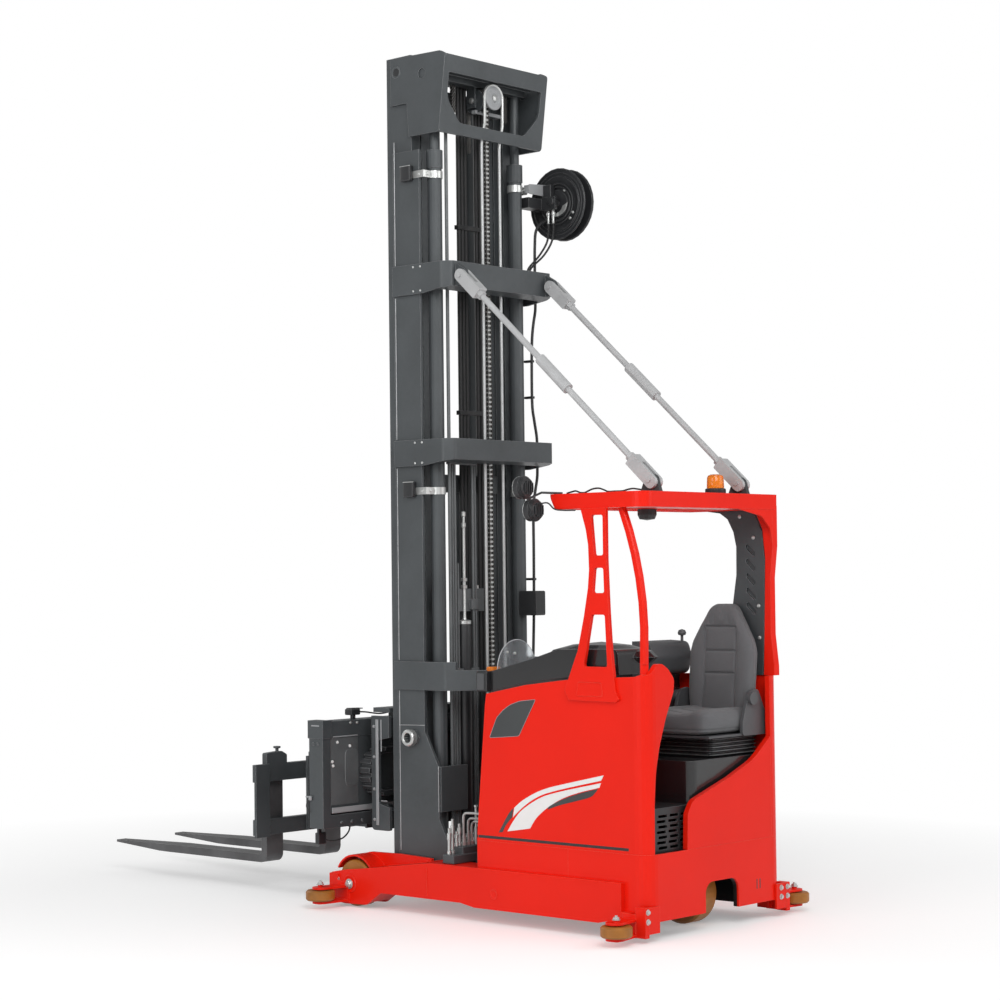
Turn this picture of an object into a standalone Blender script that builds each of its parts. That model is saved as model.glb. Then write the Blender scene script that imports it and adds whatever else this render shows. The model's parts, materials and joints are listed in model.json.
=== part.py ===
"""Man-down turret truck: a very narrow aisle stacker with a three-way fork head.

Metres, +Z up. The truck drives along +X, the operator sits sideways and faces +Y.
Every place below is given from one datum: x = 0 on the flat rear face of the chassis,
y = 0 on the centreline, z = 0 on the floor. The whole truck hangs on one empty, which
puts the middle of its length over the world origin.
"""
import math

import bmesh
import bpy
from mathutils import Matrix, Vector
from mathutils.geometry import tessellate_polygon

# Clearances
SEAT = 0.0003          # between two pieces that are bolted or welded face to face
RUN = 0.010            # side clearance between mast sections
ROLL = 0.0003          # round a pin, and between a mast roller and its channel
BITE = 0.004           # how far a welded member runs into the one that carries it

# Chassis
BODY_HALF = 0.575      # half width of the body
BODY_FRONT = 1.15      # front end of the body
SILL_Z = 0.095         # underside of the chassis
DECK_Z = 0.430         # top of the lower chassis
CORNER_R = 0.080       # rounded rear corners
SKIN = 0.030           # wall of the body panels
ARCH_LEFT = 0.104      # cut-out over the drive wheel, in the rear face
ARCH_RIGHT = -0.179
ARCH_TOP = 0.250
ARCH_R = 0.060
WELL_TOP = 0.385       # ceiling of the drive wheel well
LINK_TOP = 0.255       # top of the deck between body and mast
BASE_FRONT = 2.000     # front edge of the plate under the mast

# Outriggers and load wheels
LEG_OUTER = BODY_HALF + 0.031
LEG_INNER = BODY_HALF - 0.135
LEG_PLATE = 0.020
LEG_REAR = 0.150
LEG_FRONT = 2.240
LEG_TOP = 0.288
LOAD_X = 2.088
LOAD_R = 0.128
LOAD_W = 0.098
AXLE_R = 0.030

# Drive wheel
DRIVE_X = 0.270
DRIVE_Y = -0.075
DRIVE_R = 0.170
DRIVE_W = 0.110
WELL_R = 0.225         # half width of the square well the wheel turns in
WELL_REAR = 0.035
BAY_WALL = 0.025       # wall in front of the well

# Horizontal guide rollers at the four corners
GUIDE_Y = LEG_OUTER + 0.153
GUIDE_X_REAR = 0.056
GUIDE_X_FRONT = 2.167
GUIDE_R = 0.080
GUIDE_Z = 0.076
GUIDE_H = 0.056
GUIDE_PLATE = 0.012
GUIDE_GAP = 0.005

# Body panels and cabin
PANEL_TOP_FRONT = 1.206
PANEL_TOP_REAR = 1.311
HUMP_TOP = 1.377
GROOVE_Z = 0.445
GROOVE_H = 0.015
GROOVE_D = 0.006
RIGHT_TOP = 1.280
HOOD_FRONT = 1.065
HOOD_FACE = 1.075      # foot of the hood's front face
HOOD_REAR = 0.650
BATTERY_X = (0.690, 1.045)
BATTERY_HALF = BODY_HALF - 0.075
BATTERY_TOP = 1.150
FLOOR_Z = 0.650
FLOOR_T = 0.012
RISER_X = 0.050
PEDESTAL_X = (0.050, 0.625)
PEDESTAL_Y = (0.075 - BODY_HALF, 0.150)
PEDESTAL_TOP = 0.868

# Seat
SEAT_X = 0.285         # middle of the seat along the truck
BELLOWS_X = (0.110, 0.570)
BELLOWS_Y = (-0.500, -0.100)
BELLOWS_TOP = 0.970
PAN_T = 0.012
CUSHION_HALF = 0.215
CUSHION_Y = (-0.455, 0.000)
CUSHION_T = 0.135
BACK_HALF = 0.218
BACK_T = 0.085
BACK_FOOT_Y = -0.375   # front of the backrest at its foot
BACK_HEAD_Y = -0.440
BACK_Z = (1.100, 1.665)

# Overhead guard
ROOF_HALF = BODY_HALF
ROOF_FRONT = 0.620
ROOF_Z = 2.165
ROOF_H = 0.080
ROOF_SLOTS = 6
PILLAR_OUT = BODY_HALF + 0.015     # outer face of the left pillar
PILLAR_T = 0.020

# Mast
MAST_HALF = LEG_INNER - 0.010      # outer faces of the mast's cheek plates
CHEEK_T = 0.016
RAIL_X = (1.740, 1.930)
ROLLER_X = sum(RAIL_X) / 2
RAIL_T = 0.018         # web of a rail
FLANGE_T = 0.022
RAIL_W = 0.070         # width over the flanges of one rail
MAST_FOOT = 0.130
FOOT_REAR = 1.452      # rear edge of the mast's foot plates
FOOT_PAD = 0.030
MAST_TOP = 4.742
HEAD_TOP = 4.706
CHEEK_REAR = 1.670
MIDDLE_FOOT = 0.190
MIDDLE_TOP = 4.640
INNER_FOOT = 0.240
INNER_TOP = 4.600
HEAD_REAR = 1.460
HEAD_Z = 4.280
TIE_REAR = 1.440
UPPER_TIE_Z = (3.393, 3.560)
MIDDLE_TIE_Z = (2.440, 2.585)
LOWER_TIE_Z = (1.204, 1.360)
BAND_REAR = 1.290      # rear face of the lower tie's band
BAND_T = 0.014
CYL_X = 1.640
CYL_Y = MAST_HALF - 0.095
CYL_R = 0.040
CYL_BORE = 0.031
ROD_R = 0.027
CYL_TOP = 4.200
CROSS_X = (CYL_X + 0.015, RAIL_X[0] - 0.034)       # cross members of the middle mast, behind the inner one's
SHEAVE_X = CYL_X - 0.018
SHEAVE_R = 0.056
HOSE_R = 0.012
HOSE_Y = (-0.128, -0.100, -0.072, -0.044, 0.044, 0.072, 0.100)
HOSE_CLAMP_Z = (0.70, 1.70, 2.75, 3.80)
PIPE_R = 0.009
PIPE_Y = (0.048, -0.100)
SOCKET = (1.757, 0.940)        # x, z of the six-sided socket on each rail
SOCKET_R = 0.046
CHAIN_PITCH = 0.038
CHAIN_T = 0.016
CHAIN_FOOT = 0.400

# Stays from the mast to the overhead guard
STAY_Y = MAST_HALF - 0.056
STAY_TOP = (1.395, 3.475)      # x, z of the upper pin
STAY_FOOT = (0.098, 2.305)     # x, z of the lower pin
STAY_R = 0.017
SLEEVE_R = 0.030
PIN_R = 0.014
LUG_HALF = 0.012

# Lift carriage and traverse frame
CARRIAGE_X = (1.950, 2.090)
CARRIAGE_HALF = MAST_HALF
CARRIAGE_Z = (0.411, 1.050)
TRAVERSE_X = (2.200, 2.310)
TRAVERSE_LIP = 0.016
TRAVERSE_WEB = 0.020
TRAVERSE_HALF = 0.700
TRAVERSE_Z = (0.430, 1.025)
BEAM_TOP_H = 0.092     # height of the traverse frame's upper beam
BEAM_FOOT_H = 0.070
TRACK_T = 0.028        # thickness over and under the slider's shoes

# Turret: slider, rotating head and forks
PIVOT_X = 2.805
PIVOT_Y = 0.100
SLIDER_HALF = 0.150
ARM_HALF = 0.085
ARM_TOP_Z = (0.845, 0.925)
ARM_FOOT_Z = (0.385, 0.455)
PIVOT_PIN_R = 0.035
HUB_R = 0.062
HEAD_PLATE_X = (0.095, 0.112)  # from the pivot
BAR_X = (0.112, 0.155)         # from the pivot
BAR_Y = (-0.400, 0.463)        # from the pivot
FRAME_W = 0.108                # width of the upright plate at each end of the bars
UPPER_BAR_Z = (0.640, 0.740)
LOWER_BAR_Z = (0.330, 0.420)
FORK_Y = (-0.195, 0.275)       # from the pivot to each fork's centreline
FORK_W = 0.130
FORK_T = 0.046
FORK_Z = 0.160
FORK_TIP_X = 4.400
HEEL_R = 0.050

CENTRE_X = (FORK_TIP_X + GUIDE_X_REAR - GUIDE_R) / 2

# Colours: red, green, blue, then roughness and metallic
FINISHES = {
    "body_red": (0.86, 0.027, 0.012, 0.35, 0.0),
    "mast_grey": (0.065, 0.075, 0.080, 0.5, 0.3),
    "black_plastic": (0.02, 0.02, 0.022, 0.45, 0.0),
    "grey_plastic": (0.09, 0.095, 0.10, 0.5, 0.0),
    "polyurethane": (0.45, 0.16, 0.012, 0.4, 0.0),
    "steel": (0.55, 0.56, 0.55, 0.3, 0.9),
    "fork_steel": (0.10, 0.105, 0.11, 0.5, 0.4),
    "seat_fabric": (0.13, 0.135, 0.14, 0.9, 0.0),
    "rubber": (0.015, 0.015, 0.015, 0.7, 0.0),
    "amber_lens": (1.0, 0.25, 0.0, 0.2, 0.0),
    "clear_plastic": (0.8, 0.85, 0.88, 0.1, 0.0),
    "battery_case": (0.03, 0.035, 0.04, 0.6, 0.0),
}

AXES = {"X": (1, 2, 0), "Y": (0, 2, 1), "Z": (0, 1, 2)}


def clear_scene():
    for old in list(bpy.data.objects):
        bpy.data.objects.remove(old, do_unlink=True)


def make_materials():
    made = {}
    for name, (red, green, blue, rough, metal) in FINISHES.items():
        material = bpy.data.materials.new(name)
        material.use_nodes = True
        shader = material.node_tree.nodes["Principled BSDF"]
        shader.inputs["Base Color"].default_value = (red, green, blue, 1.0)
        shader.inputs["Roughness"].default_value = rough
        shader.inputs["Metallic"].default_value = metal
        made[name] = material
    return made


def arc(u, v, radius, start, end, steps=8):
    """Points on a circle, from the start angle to the end angle in degrees."""
    angles = [math.radians(start + (end - start) * i / steps) for i in range(steps + 1)]
    return [(u + radius * math.cos(a), v + radius * math.sin(a)) for a in angles]


def fillet(corners, steps=5):
    """An outline from corners (u, v) or (u, v, radius), each radius made an arc."""
    out = []
    count = len(corners)
    for i, corner in enumerate(corners):
        here = Vector(corner[:2])
        if len(corner) < 3 or corner[2] <= 0:
            out.append(tuple(here))
            continue
        back = (Vector(corners[i - 1][:2]) - here).normalized()
        ahead = (Vector(corners[(i + 1) % count][:2]) - here).normalized()
        half = back.angle(ahead) / 2
        reach = corner[2] / math.tan(half)
        middle = here + (back + ahead).normalized() * (corner[2] / math.sin(half))
        first = here + back * reach - middle
        last = here + ahead * reach - middle
        sweep = first.angle_signed(last)
        for k in range(steps + 1):
            turned_by = Matrix.Rotation(-sweep * k / steps, 2)
            out.append(tuple(middle + turned_by @ first))
    return out


def rectangle(u, v, radius=0.0, steps=3):
    """A rectangle's corners from its two spans, with rounded corners if asked."""
    return fillet([(u[0], v[0], radius), (u[1], v[0], radius),
                   (u[1], v[1], radius), (u[0], v[1], radius)], steps)


def finish_mesh(bm):
    bmesh.ops.remove_doubles(bm, verts=bm.verts, dist=1e-6)
    bmesh.ops.recalc_face_normals(bm, faces=bm.faces)
    if bm.calc_volume(signed=True) < 0:
        bmesh.ops.reverse_faces(bm, faces=bm.faces)
    mesh = bpy.data.meshes.new("shape")
    bm.to_mesh(mesh)
    bm.free()
    return mesh


def prism(outline, axis, low, high, holes=()):
    """A flat outline with its holes, pushed from low to high along an axis."""
    first, second, along = AXES[axis]
    loops = [list(outline)] + [list(hole) for hole in holes]
    bm = bmesh.new()
    rings = []
    for loop in loops:
        pair = []
        for level in (low, high):
            ring = []
            for u, v in loop:
                place = [0.0, 0.0, 0.0]
                place[first] = u
                place[second] = v
                place[along] = level
                ring.append(bm.verts.new(place))
            pair.append(ring)
        rings.append(pair)
    if len(loops) == 1:
        bm.faces.new(rings[0][0])
        bm.faces.new(rings[0][1])
    else:
        flat = [[Vector((u, v, 0.0)) for u, v in loop] for loop in loops]
        for level in (0, 1):
            corners = [vert for pair in rings for vert in pair[level]]
            for triangle in tessellate_polygon(flat):
                bm.faces.new([corners[i] for i in triangle])
    for lower, upper in rings:
        count = len(lower)
        for i in range(count):
            j = (i + 1) % count
            bm.faces.new((lower[i], lower[j], upper[j], upper[i]))
    return finish_mesh(bm)


def box(x, y, z):
    return prism([(x[0], y[0]), (x[1], y[0]), (x[1], y[1]), (x[0], y[1])], "Z", z[0], z[1])


def turned(profile, axis, centre, steps=24):
    """A closed solid of revolution: profile is (radius, place along the axis)."""
    first, second, along = AXES[axis]
    bm = bmesh.new()
    rings = []
    for radius, level in profile:
        ring = []
        for k in range(steps if radius > 0 else 1):
            angle = 2 * math.pi * k / steps
            place = list(centre)
            place[first] += radius * math.cos(angle)
            place[second] += radius * math.sin(angle)
            place[along] += level
            ring.append(bm.verts.new(place))
        rings.append(ring)
    count = len(rings)
    closed = profile[0][0] > 0 and profile[-1][0] > 0
    for i in range(count if closed else count - 1):
        one = rings[i]
        two = rings[(i + 1) % count]
        for k in range(steps):
            n = (k + 1) % steps
            corners = [one[k % len(one)], one[n % len(one)], two[n % len(two)], two[k % len(two)]]
            kept = list(dict.fromkeys(corners))
            if len(kept) > 2:
                bm.faces.new(kept)
    return finish_mesh(bm)


def cylinder(axis, centre, radius, low, high, steps=24):
    return turned([(0, low), (radius, low), (radius, high), (0, high)], axis, centre, steps)


def swept(path, section):
    """A flat closed section carried along a path of points, with its ends capped."""
    bm = bmesh.new()
    points = [Vector(p) for p in path]
    rings = []
    side = Vector((0, 1, 0))
    for i, point in enumerate(points):
        ahead = points[min(i + 1, len(points) - 1)] - points[max(i - 1, 0)]
        ahead.normalize()
        side = (side - ahead * side.dot(ahead)).normalized()
        up = ahead.cross(side)
        rings.append([bm.verts.new(point + side * u + up * v) for u, v in section])
    count = len(section)
    for one, two in zip(rings, rings[1:]):
        for k in range(count):
            n = (k + 1) % count
            bm.faces.new((one[k], one[n], two[n], two[k]))
    bm.faces.new(rings[0])
    bm.faces.new(rings[-1])
    return finish_mesh(bm)


def circle(radius, steps=10):
    return arc(0, 0, radius, 0, 360 - 360 / steps, steps - 1)


def mirrored(mesh):
    """The same shape on the other side of the truck."""
    copy = mesh.copy()
    copy.transform(Matrix.Scale(-1, 4, (0, 1, 0)))
    copy.flip_normals()
    return copy


def welded(adds, cuts=()):
    """One closed mesh: the added shapes joined, then the cut shapes taken away."""
    base = bpy.data.objects.new("base", adds[0])
    bpy.context.scene.collection.objects.link(base)
    tools = []
    groups = []
    for operation, shapes in (("UNION", adds[1:]), ("DIFFERENCE", cuts)):
        if not shapes:
            continue
        group = bpy.data.collections.new(operation)
        groups.append(group)
        bpy.context.scene.collection.children.link(group)
        for shape in shapes:
            tool = bpy.data.objects.new("tool", shape)
            group.objects.link(tool)
            tools.append(tool)
        modifier = base.modifiers.new(operation, "BOOLEAN")
        modifier.operation = operation
        modifier.operand_type = "COLLECTION"
        modifier.collection = group
        modifier.solver = "EXACT"
    graph = bpy.context.evaluated_depsgraph_get()
    result = bpy.data.meshes.new_from_object(base.evaluated_get(graph))
    for old in tools + [base]:
        bpy.data.objects.remove(old, do_unlink=True)
    for group in groups:
        bpy.data.collections.remove(group)
    bm = bmesh.new()
    bm.from_mesh(result)
    bmesh.ops.remove_doubles(bm, verts=bm.verts, dist=1e-6)
    bmesh.ops.dissolve_limit(bm, angle_limit=0.0005, verts=bm.verts, edges=bm.edges)
    bmesh.ops.triangulate(bm, faces=bm.faces)
    bm.to_mesh(result)
    bm.free()
    return result


class Truck:
    """Holds the materials and the empties that carry the moving bodies."""

    def __init__(self):
        self.materials = make_materials()
        self.places = {}
        self.empties = {}
        self.add_frame("truck", (CENTRE_X, 0, 0), None)
        self.empties["truck"].location = (0, 0, 0)

    def add_frame(self, name, place, parent):
        empty = bpy.data.objects.new(name, None)
        bpy.context.scene.collection.objects.link(empty)
        self.places[name] = Vector(place)
        self.empties[name] = empty
        if parent:
            empty.parent = self.empties[parent]
            empty.location = self.places[name] - self.places[parent]

    def add(self, name, material, adds, cuts=(), frame="truck"):
        mesh = welded(adds, cuts) if len(adds) > 1 or cuts else adds[0]
        mesh.transform(Matrix.Translation(-self.places[frame]))
        mesh.name = name
        mesh.materials.clear()
        mesh.materials.append(self.materials[material])
        mesh.shade_smooth()
        mesh.set_sharp_from_angle(angle=math.radians(30))
        piece = bpy.data.objects.new(name, mesh)
        bpy.context.scene.collection.objects.link(piece)
        piece.parent = self.empties[frame]
        return piece


def body_outline(half, front, radius, inset=0.0):
    """The plan of the body: square in front, rounded at the rear corners."""
    return fillet([(front, half - inset), (inset, half - inset, max(radius - inset, 0.001)),
                   (inset, -half + inset, max(radius - inset, 0.001)), (front, -half + inset)], 6)


def beyond_panels(low, high):
    """Everything outside the inner faces of the body panels, for trimming what fits between them."""
    inside = body_outline(BODY_HALF, 2.5, CORNER_R, SKIN + SEAT)
    return prism(rectangle((-0.5, 3.0), (-1.0, 1.0)), "Z", low, high, [inside])


def add_chassis(truck):
    well_front = DRIVE_X + WELL_R
    bay_front = well_front + BAY_WALL
    bay = prism(body_outline(BODY_HALF, bay_front, CORNER_R), "Z", SILL_Z, DECK_Z)
    arch = fillet([(ARCH_RIGHT, 0.0), (ARCH_LEFT, 0.0), (ARCH_LEFT, ARCH_TOP, ARCH_R),
                   (ARCH_RIGHT, ARCH_TOP, ARCH_R)])
    well = box((WELL_REAR, well_front), (DRIVE_Y - WELL_R, DRIVE_Y + WELL_R), (0.0, WELL_TOP))
    truck.add("drive_bay", "body_red", [bay], [prism(arch, "X", -0.05, WELL_REAR + 0.05), well])

    leg_seat = LEG_INNER - SEAT
    truck.add("chassis_frame", "body_red", [
        box((bay_front + SEAT, BODY_FRONT), (-BODY_HALF, BODY_HALF), (SILL_Z, DECK_Z)),
        box((BODY_FRONT - BITE, FOOT_REAR - SEAT), (-leg_seat, leg_seat), (SILL_Z, LINK_TOP)),
        box((FOOT_REAR - 0.010, BASE_FRONT), (-leg_seat, leg_seat), (SILL_Z, MAST_FOOT - SEAT)),
    ])
    truck.add("battery_block", "battery_case",
              [prism(rectangle(BATTERY_X, (-BATTERY_HALF, BATTERY_HALF), 0.012), "Z",
                     DECK_Z + SEAT, BATTERY_TOP)])


def outrigger_meshes():
    """The left outrigger: side beam, leg, wheel pocket, guide roller brackets, wheel axle."""
    outer = LEG_OUTER
    side = fillet([(LEG_REAR, 0.110), (LEG_REAR, LEG_TOP), (1.470, LEG_TOP, 0.20), (1.914, 0.228, 0.30),
                   (2.128, 0.203), (LEG_FRONT, 0.182, 0.012), (LEG_FRONT, 0.026, 0.020),
                   (2.130, 0.016), (1.960, 0.022, 0.030), (1.850, SILL_Z, 0.040),
                   (1.250, SILL_Z), (1.150, 0.078), (0.300, 0.078)], 4)
    inner = fillet([(1.600, SILL_Z), (1.600, LEG_TOP), (1.840, 0.296, 0.10), (2.090, 0.292, 0.10),
                    (LEG_FRONT, 0.200, 0.02), (LEG_FRONT, 0.026), (1.960, 0.022), (1.850, SILL_Z)], 6)
    adds = [
        prism(side, "Y", BODY_HALF + SEAT, outer),
        prism([(x, z) for x, z in side if x > BODY_FRONT] + [(BODY_FRONT + 0.003, SILL_Z),
              (BODY_FRONT + 0.003, LEG_TOP)], "Y", LEG_INNER, BODY_HALF + 0.004),
        prism(inner, "Y", LEG_INNER, LEG_INNER + LEG_PLATE),
    ]
    pocket = box((LOAD_X - LOAD_R - 0.022, LOAD_X + LOAD_R + 0.010),
                 (LEG_INNER + LEG_PLATE, outer - LEG_PLATE), (-0.05, 0.40))
    axle = cylinder("Y", (LOAD_X, 0, LOAD_R), AXLE_R, LEG_INNER + 0.001, outer + 0.006, 24)
    fender = arc(LOAD_X, LOAD_R, LOAD_R + 0.030, 160, 30, 12)
    fender += arc(LOAD_X, LOAD_R, LOAD_R + 0.020, 30, 160, 12)
    return [welded(adds, [pocket]), axle, prism(fender, "Y", LEG_INNER + 0.002, outer - 0.036)]


def guide_bracket(x, towards):
    """A left-hand guide roller bracket: a bolted base and two ears round the roller's pin."""
    back = x + towards * 0.074
    base_x = sorted((x - towards * 0.010, back))
    wing_x = sorted((x - towards * 0.070, x - towards * 0.010))
    outline = fillet([(base_x[0], LEG_OUTER - BITE), (base_x[1], LEG_OUTER - BITE),
                      (x + 0.050, GUIDE_Y + 0.045, 0.040), (x - 0.050, GUIDE_Y + 0.045, 0.040)], 4)
    low = GUIDE_Z - GUIDE_H / 2 - GUIDE_GAP
    high = GUIDE_Z + GUIDE_H / 2 + GUIDE_GAP
    return [
        prism(outline, "Z", low - GUIDE_PLATE, low),
        prism(outline, "Z", high, high + GUIDE_PLATE),
        box(base_x, (LEG_OUTER - BITE, LEG_OUTER + 0.014), (low - GUIDE_PLATE - 0.004, high + 0.034)),
        box((wing_x[0], wing_x[1] + BITE), (LEG_OUTER - 0.020, LEG_OUTER + 0.012),
            (low - GUIDE_PLATE - 0.003, high + 0.070)),
        cylinder("Z", (x, GUIDE_Y, 0), 0.014, low - GUIDE_PLATE - 0.006, high + GUIDE_PLATE + 0.012, 12),
    ]


def add_outriggers(truck):
    for name, sign in (("left", 1), ("right", -1)):
        tab = box((GUIDE_X_REAR + 0.040, LEG_REAR + 0.020), (BODY_HALF + SEAT, LEG_OUTER), (0.034, 0.145))
        wing = box((GUIDE_X_REAR - 0.069, -SEAT), (LEG_OUTER - 0.106, LEG_OUTER + 0.011), (0.045, 0.178))
        shapes = outrigger_meshes() + [tab, wing]
        shapes += guide_bracket(GUIDE_X_FRONT, -1) + guide_bracket(GUIDE_X_REAR, 1)
        if sign < 0:
            shapes = [mirrored(shape) for shape in shapes]
        truck.add("outrigger_" + name, "body_red", shapes)


def tyre_profile(radius, half, bore, edge):
    return [(bore, -half), (radius - edge, -half), (radius, -half + edge),
            (radius, half - edge), (radius - edge, half), (bore, half)]


def add_wheels(truck):
    for name, sign in (("left", 1), ("right", -1)):
        centre = (LOAD_X, sign * (LEG_INNER + LEG_OUTER) / 2, LOAD_R)
        frame = "load_wheel_" + name
        truck.add_frame(frame + "_axis", centre, "truck")
        truck.add(frame, "polyurethane",
                  [turned(tyre_profile(LOAD_R, LOAD_W / 2, AXLE_R + ROLL, 0.010), "Y", centre, 40)],
                  frame=frame + "_axis")
    for end, x in (("front", GUIDE_X_FRONT), ("rear", GUIDE_X_REAR)):
        for name, sign in (("left", 1), ("right", -1)):
            centre = (x, sign * GUIDE_Y, GUIDE_Z)
            frame = "guide_roller_%s_%s" % (end, name)
            truck.add_frame(frame + "_axis", centre, "truck")
            truck.add(frame, "polyurethane",
                      [turned(tyre_profile(GUIDE_R, GUIDE_H / 2, 0.014 + ROLL, 0.008), "Z", centre, 32)],
                      frame=frame + "_axis")
    truck.add_frame("steering_axis", (DRIVE_X, DRIVE_Y, WELL_TOP), "truck")
    truck.add_frame("drive_axis", (DRIVE_X, DRIVE_Y, DRIVE_R), "steering_axis")
    side = DRIVE_Y - DRIVE_W / 2 - 0.010
    housing = fillet([(DRIVE_X - 0.085, WELL_TOP - 0.020), (DRIVE_X - 0.085, DRIVE_R, 0.05),
                      (DRIVE_X - 0.060, DRIVE_R - 0.080, 0.05), (DRIVE_X + 0.060, DRIVE_R - 0.080, 0.05),
                      (DRIVE_X + 0.085, DRIVE_R, 0.05), (DRIVE_X + 0.085, WELL_TOP - 0.020)], 4)
    adds = [
        prism(housing, "Y", side - 0.055, side),
        cylinder("Z", (DRIVE_X, DRIVE_Y, 0), 0.150, WELL_TOP - 0.026, WELL_TOP - SEAT, 32),
        cylinder("Y", (DRIVE_X, 0, DRIVE_R), AXLE_R, side - 0.010, DRIVE_Y + 0.050, 16),
        cylinder("Y", (DRIVE_X, 0, DRIVE_R), 0.055, side - 0.075, side - 0.050, 20),
    ]
    truck.add("drive_yoke", "mast_grey", adds, frame="steering_axis")
    truck.add("drive_wheel", "polyurethane",
              [turned(tyre_profile(DRIVE_R, DRIVE_W / 2, AXLE_R + ROLL, 0.012), "Y",
                      (DRIVE_X, DRIVE_Y, DRIVE_R), 40)], frame="drive_axis")


def add_panels(truck):
    outer = body_outline(BODY_HALF, BODY_FRONT + 0.02, CORNER_R)
    inner = body_outline(BODY_HALF, BODY_FRONT + 0.03, CORNER_R, SKIN)
    low = DECK_Z + SEAT
    left = [(x, y) for x, y in outer if y > 0.3] + [(0.0, 0.335)]
    left_in = [(x, y) for x, y in inner if y > 0.3] + [(SKIN, 0.335)]
    sheet = prism(left + left_in[::-1], "Z", low, 1.400)
    front_cut = prism([(1.30, 0.40), (1.155, 0.40), (1.084, 1.148), (1.075, PANEL_TOP_FRONT),
                       (1.075, 1.45), (1.30, 1.45)], "Y", 0.40, 0.70)
    crown = [(1.30, 1.45), (1.30, PANEL_TOP_FRONT - 0.03), (1.075, PANEL_TOP_FRONT), (0.800, 1.258),
             (0.502, 1.293), (0.165, PANEL_TOP_REAR, 0.05), (0.070, PANEL_TOP_REAR + 0.004), (0.029, 1.330),
             (0.029, 1.45)]
    top_cut = prism(fillet(crown, 4), "Y", 0.40, 0.70)
    wrap = fillet([(0.20, 1.45), (0.20, 0.40), (0.513, 0.40), (0.511, 0.673, 0.3), (0.499, 0.841, 0.4),
                   (0.468, 0.968, 0.4), (0.413, 1.107, 0.4), (0.349, 1.232, 0.04), (0.341, 1.297, 0.04),
                   (0.391, 1.350, 0.03), (0.440, HUMP_TOP, 0.04), (0.475, HUMP_TOP, 0.03),
                   (0.530, 1.325, 0.04), (0.620, PANEL_TOP_REAR), (0.70, 1.45)], 4)
    edge_cut = prism(wrap, "X", -0.05, SKIN + 0.003)
    groove = box((0.120, 1.30), (BODY_HALF - GROOVE_D, 0.70), (GROOVE_Z, GROOVE_Z + GROOVE_H))
    truck.add("side_panel_left", "body_red", [sheet], [front_cut, top_cut, edge_cut, groove])

    cover_right = BODY_HALF - 0.095
    right = [(x, -y) for x, y in outer if y > 0.3] + [(0.0, -cover_right)]
    right_in = [(x, -y) for x, y in inner if y > 0.3] + [(SKIN, -cover_right)]
    sheet = prism(right + right_in[::-1], "Z", low, RIGHT_TOP)
    front_cut = prism([(1.30, 0.40), (1.155, 0.40), (1.084, 1.148), (1.075, PANEL_TOP_FRONT),
                       (1.075, 1.45), (1.30, 1.45)], "Y", -0.70, -0.40)
    top_cut = prism([(1.30, 1.45), (1.30, PANEL_TOP_FRONT - 0.03), (1.075, PANEL_TOP_FRONT),
                     (0.800, 1.258), (0.640, RIGHT_TOP - 0.002), (0.640, 1.45)], "Y", -0.70, -0.40)
    groove = box((0.120, 1.30), (-0.70, -BODY_HALF + GROOVE_D), (GROOVE_Z, GROOVE_Z + GROOVE_H))
    truck.add("side_panel_right", "body_red", [sheet], [front_cut, top_cut, groove])

    edge = SEAT - cover_right
    cover = fillet([(edge, low), (0.250, low), (0.244, 0.610, 0.05), (0.200, 0.675, 0.08),
                    (-0.118, 0.771, 0.5), (-0.330, 0.850, 0.4), (edge, 0.960)], 5)
    truck.add("rear_cover", "body_red", [prism(cover, "X", 0.0, SKIN)])


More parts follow.
